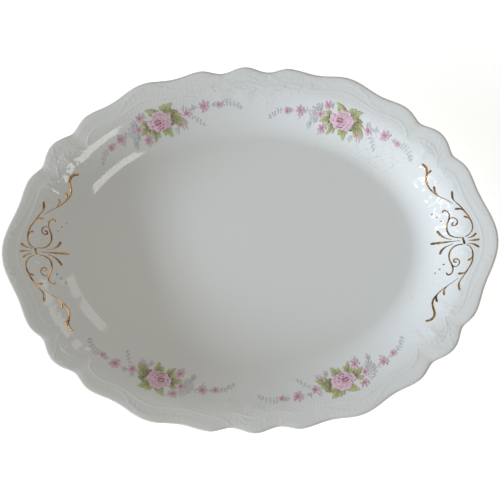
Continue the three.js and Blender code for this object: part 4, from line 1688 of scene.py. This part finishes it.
        self.blossom((-17.4, 4.6), 9, 5.8, 40, pale=True)
        self.blossom((12.4, -6), 6.8, 5.2, 0)
        self.blossom((16.8, -0.2), 6.4, 5.4, 30, pale=True)
        self.blossom((12.7, 7.5), 7, 5.8, 75)
        self.blossom((33.5, 0), 7.2, 5.2, 15)
        self.blossom((43.8, 1.2), 5.6, 4.1, 50)
        self.leaf((-10, -0.6), (-17.4, -3), 4.6, dark=True, lobes=5)
        self.leaf((-13, 0.4), (-22.6, 5.4), 3.8)
        self.leaf((-11.5, 1), (-15, 4.2), 3.0, dark=True)
        self.leaf((-5.6, -3.4), (-14.6, -8.4), 4.2, lobes=5)
        self.leaf((-3.4, -5.6), (7.2, -9), 3.2, lobes=1)
        self.leaf((-1.6, -4.8), (3.4, -8), 2.6, lobes=1)
        self.leaf((1.6, -4), (5.4, -6.6), 2.2, lobes=1)
        self.leaf((7.4, 1.4), (9.8, 3.8), 3.0, dark=True)
        self.leaf((8, -0.4), (16.9, 3.8), 3.6, lobes=5)
        self.leaf((-3.6, 3.6), (-7.4, 11.2), 4.6, lobes=5)
        self.leaf((4.2, 3.6), (8.3, 10.8), 3.2)
        for u, v in ((9.2, -0.4), (-7, -4.2), (-13.8, -2.6), (8.6, 2.4), (-10.8, 3.4)):
            self.blade(
                (u - 1.1, v), (u + 1.1, v + 0.6), 1.2, (Ink.MAROON,) * 3, stations=6, across=3
            )
        self.rose()
        piece = self.skin.finish(f"floral_print_{self.name}", material)
        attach(piece, "root")
        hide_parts(f"floral_transfer_{self.name}")


# ---------------------------------------------------------------------------
# Studio
# ---------------------------------------------------------------------------


DAYLIGHT = (0.77, 0.88, 1.0)
WHITE = (1.0, 1.0, 1.0)


class LightRole(Enum):
    """What a light is for."""

    SHADES = "lights matt surfaces, and polished ones don't mirror it"
    MIRRORED = "only polished surfaces show it"


@dataclass(frozen=True)
class Softbox:
    """A rectangular light that looks at the platter's middle.

    bearing is counted in degrees from +X towards +Y and climb is its height in degrees
    over the table.
    """

    name: str
    bearing: float
    climb: float
    wide: float
    high: float
    watts: float
    colour: tuple[float, float, float]
    role: LightRole
    distance: float = 1.4

    def build(self) -> None:
        """Adds the light, turned to face the middle of the well."""
        data = bpy.data.lights.new(self.name, "AREA")
        data.shape = "RECTANGLE"
        data.size, data.size_y = self.wide, self.high
        data.energy, data.color = self.watts, self.colour
        lamp = bpy.data.objects.new(self.name, data)
        turn, climb = math.radians(self.bearing), math.radians(self.climb)
        level = self.distance * math.cos(climb)
        place = Vector(
            (level * math.cos(turn), level * math.sin(turn), self.distance * math.sin(climb))
        )
        lamp.location = place
        lamp.rotation_euler = (-place).to_track_quat("-Z", "Y").to_euler()
        lamp.visible_glossy = self.role is LightRole.MIRRORED
        lamp.visible_diffuse = self.role is LightRole.SHADES
        bpy.context.collection.objects.link(lamp)


@dataclass(frozen=True)
class Studio:
    """A pale floor, an even surround, a soft window from the left, and the camera."""

    rim_height: float
    surround: str = "FFFCF4"
    surround_strength: float = 0.462
    floor_colour: str = "F4F5F5"
    floor_glow: float = 0.58
    floor_reach: float = 3.0
    floor_drop: float = 0.0002  # below the foot, so that the two faces stay apart
    boxes: tuple[Softbox, ...] = (
        Softbox("window", 194, 14.5, 3.2, 0.26, 110.0, DAYLIGHT, LightRole.SHADES, 3.0),
        Softbox("sunlit_pane_1", 213, 23.8, 0.04, 0.03, 0.24, WHITE, LightRole.MIRRORED),
        Softbox("sunlit_pane_2", 200, 24, 0.024, 0.024, 0.11, WHITE, LightRole.MIRRORED),
        Softbox("sunlit_pane_3", 191, 24, 0.022, 0.022, 0.095, WHITE, LightRole.MIRRORED),
        Softbox("sunlit_pane_4", 183, 24.4, 0.032, 0.028, 0.165, WHITE, LightRole.MIRRORED),
        Softbox("back_window_left", 48, 31, 0.34, 0.6, 1.12, WHITE, LightRole.MIRRORED),
        Softbox("back_window_right", 31, 31, 0.28, 0.5, 0.76, WHITE, LightRole.MIRRORED),
        Softbox("front_window", 310, 38, 0.46, 0.44, 2.9, WHITE, LightRole.MIRRORED),
    )
    focal_mm: float = 67.14
    sensor_mm: float = 36.0
    distance: float = 0.64
    shift_y: float = -0.0083
    lean: float = 0.11868
    roll: float = 0.02941

    def build(self) -> None:
        """Builds the surround, the floor, the lights and the camera."""
        self.build_world()
        self.build_floor()
        for box in self.boxes:
            box.build()
        self.build_camera()

    def build_world(self) -> None:
        """Fills the surround with one even, slightly warm white."""
        world = bpy.data.worlds.new("even_surround")
        bpy.context.scene.world = world
        world.use_nodes = True
        tree = world.node_tree
        tree.nodes.clear()
        sky = add_node(
            tree,
            "ShaderNodeBackground",
            inputs={"Color": linear(self.surround), "Strength": self.surround_strength},
        )
        add_node(tree, "ShaderNodeOutputWorld", inputs={"Surface": sky.outputs[0]})

    def build_floor(self) -> None:
        """Lays a wide pale sheet at z = 0, which glows a little as a lit sweep does."""
        material, tree = new_material("pale_floor")
        colour = linear(self.floor_colour)
        shader = add_node(
            tree,
            "ShaderNodeBsdfPrincipled",
            inputs={
                "Base Color": colour,
                "Roughness": 0.9,
                "Emission Color": colour,
                "Emission Strength": self.floor_glow,
            },
        )
        add_node(tree, "ShaderNodeOutputMaterial", inputs={"Surface": shader.outputs[0]})
        mesh = bpy.data.meshes.new("floor")
        reach = self.floor_reach
        corners = [(-reach, -reach), (reach, -reach), (reach, reach), (-reach, reach)]
        mesh.from_pydata([(x, y, -self.floor_drop) for x, y in corners], [], [(0, 1, 2, 3)])
        mesh.materials.append(material)
        floor = bpy.data.objects.new("floor", mesh)
        bpy.context.collection.objects.link(floor)

    def build_camera(self) -> None:
        """Looks almost straight down, from a little in front of the platter."""
        data = bpy.data.cameras.new("camera")
        data.lens, data.sensor_width = self.focal_mm, self.sensor_mm
        data.shift_y = self.shift_y
        lean, roll = self.lean, self.roll
        back = Vector(
            (-math.sin(lean) * math.sin(roll), -math.sin(lean) * math.cos(roll), math.cos(lean))
        )
        right = Vector((math.cos(roll), -math.sin(roll), 0.0))
        up = back.cross(right)
        place = back * self.distance + Vector((0, 0, self.rim_height))
        turned = Matrix((right, up, back)).transposed().to_4x4()
        camera = bpy.data.objects.new("camera", data)
        camera.matrix_world = Matrix.Translation(place) @ turned
        bpy.context.collection.objects.link(camera)
        bpy.context.scene.camera = camera


# Where each spray's rose sits: arc position in quarters of the rim, and inset in mm.
SPRAY_SEATS = (
    ("back_right", 0.667, 24.3),
    ("back_left", 1.31, 23.8),
    ("front_left", 2.679, 25.3),
    ("front_right", 3.307, 22.4),
)


def main() -> None:
    """Builds the platter, piece by piece, and then the studio round it."""
    logging.basicConfig(level=logging.INFO, format="%(message)s")
    low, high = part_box("platter_body")
    length, width = ((high[k] - low[k]) / MM for k in (0, 1))
    chart = RimChart(length=length, width=width)
    mould = ReliefMould(chart, bosses=rim_bosses())
    hand = Draughtsman(chart, mould)
    GlazedBody(chart, mould).build(GlazedChina().build())
    print_finish = EnamelPrint().build()
    for name, quarters, inset in SPRAY_SEATS:
        FloralTransfer(chart, hand, name, quarters, inset).build(print_finish)
    gold = BurnishedGold().build()
    for end in End:
        GiltScroll(chart, hand, end).build(gold)
    Studio(rim_height=chart.rim_height * MM).build()
    scene = bpy.context.scene
    scene.view_settings.view_transform = "Standard"


if __name__ == "__main__":
    main()
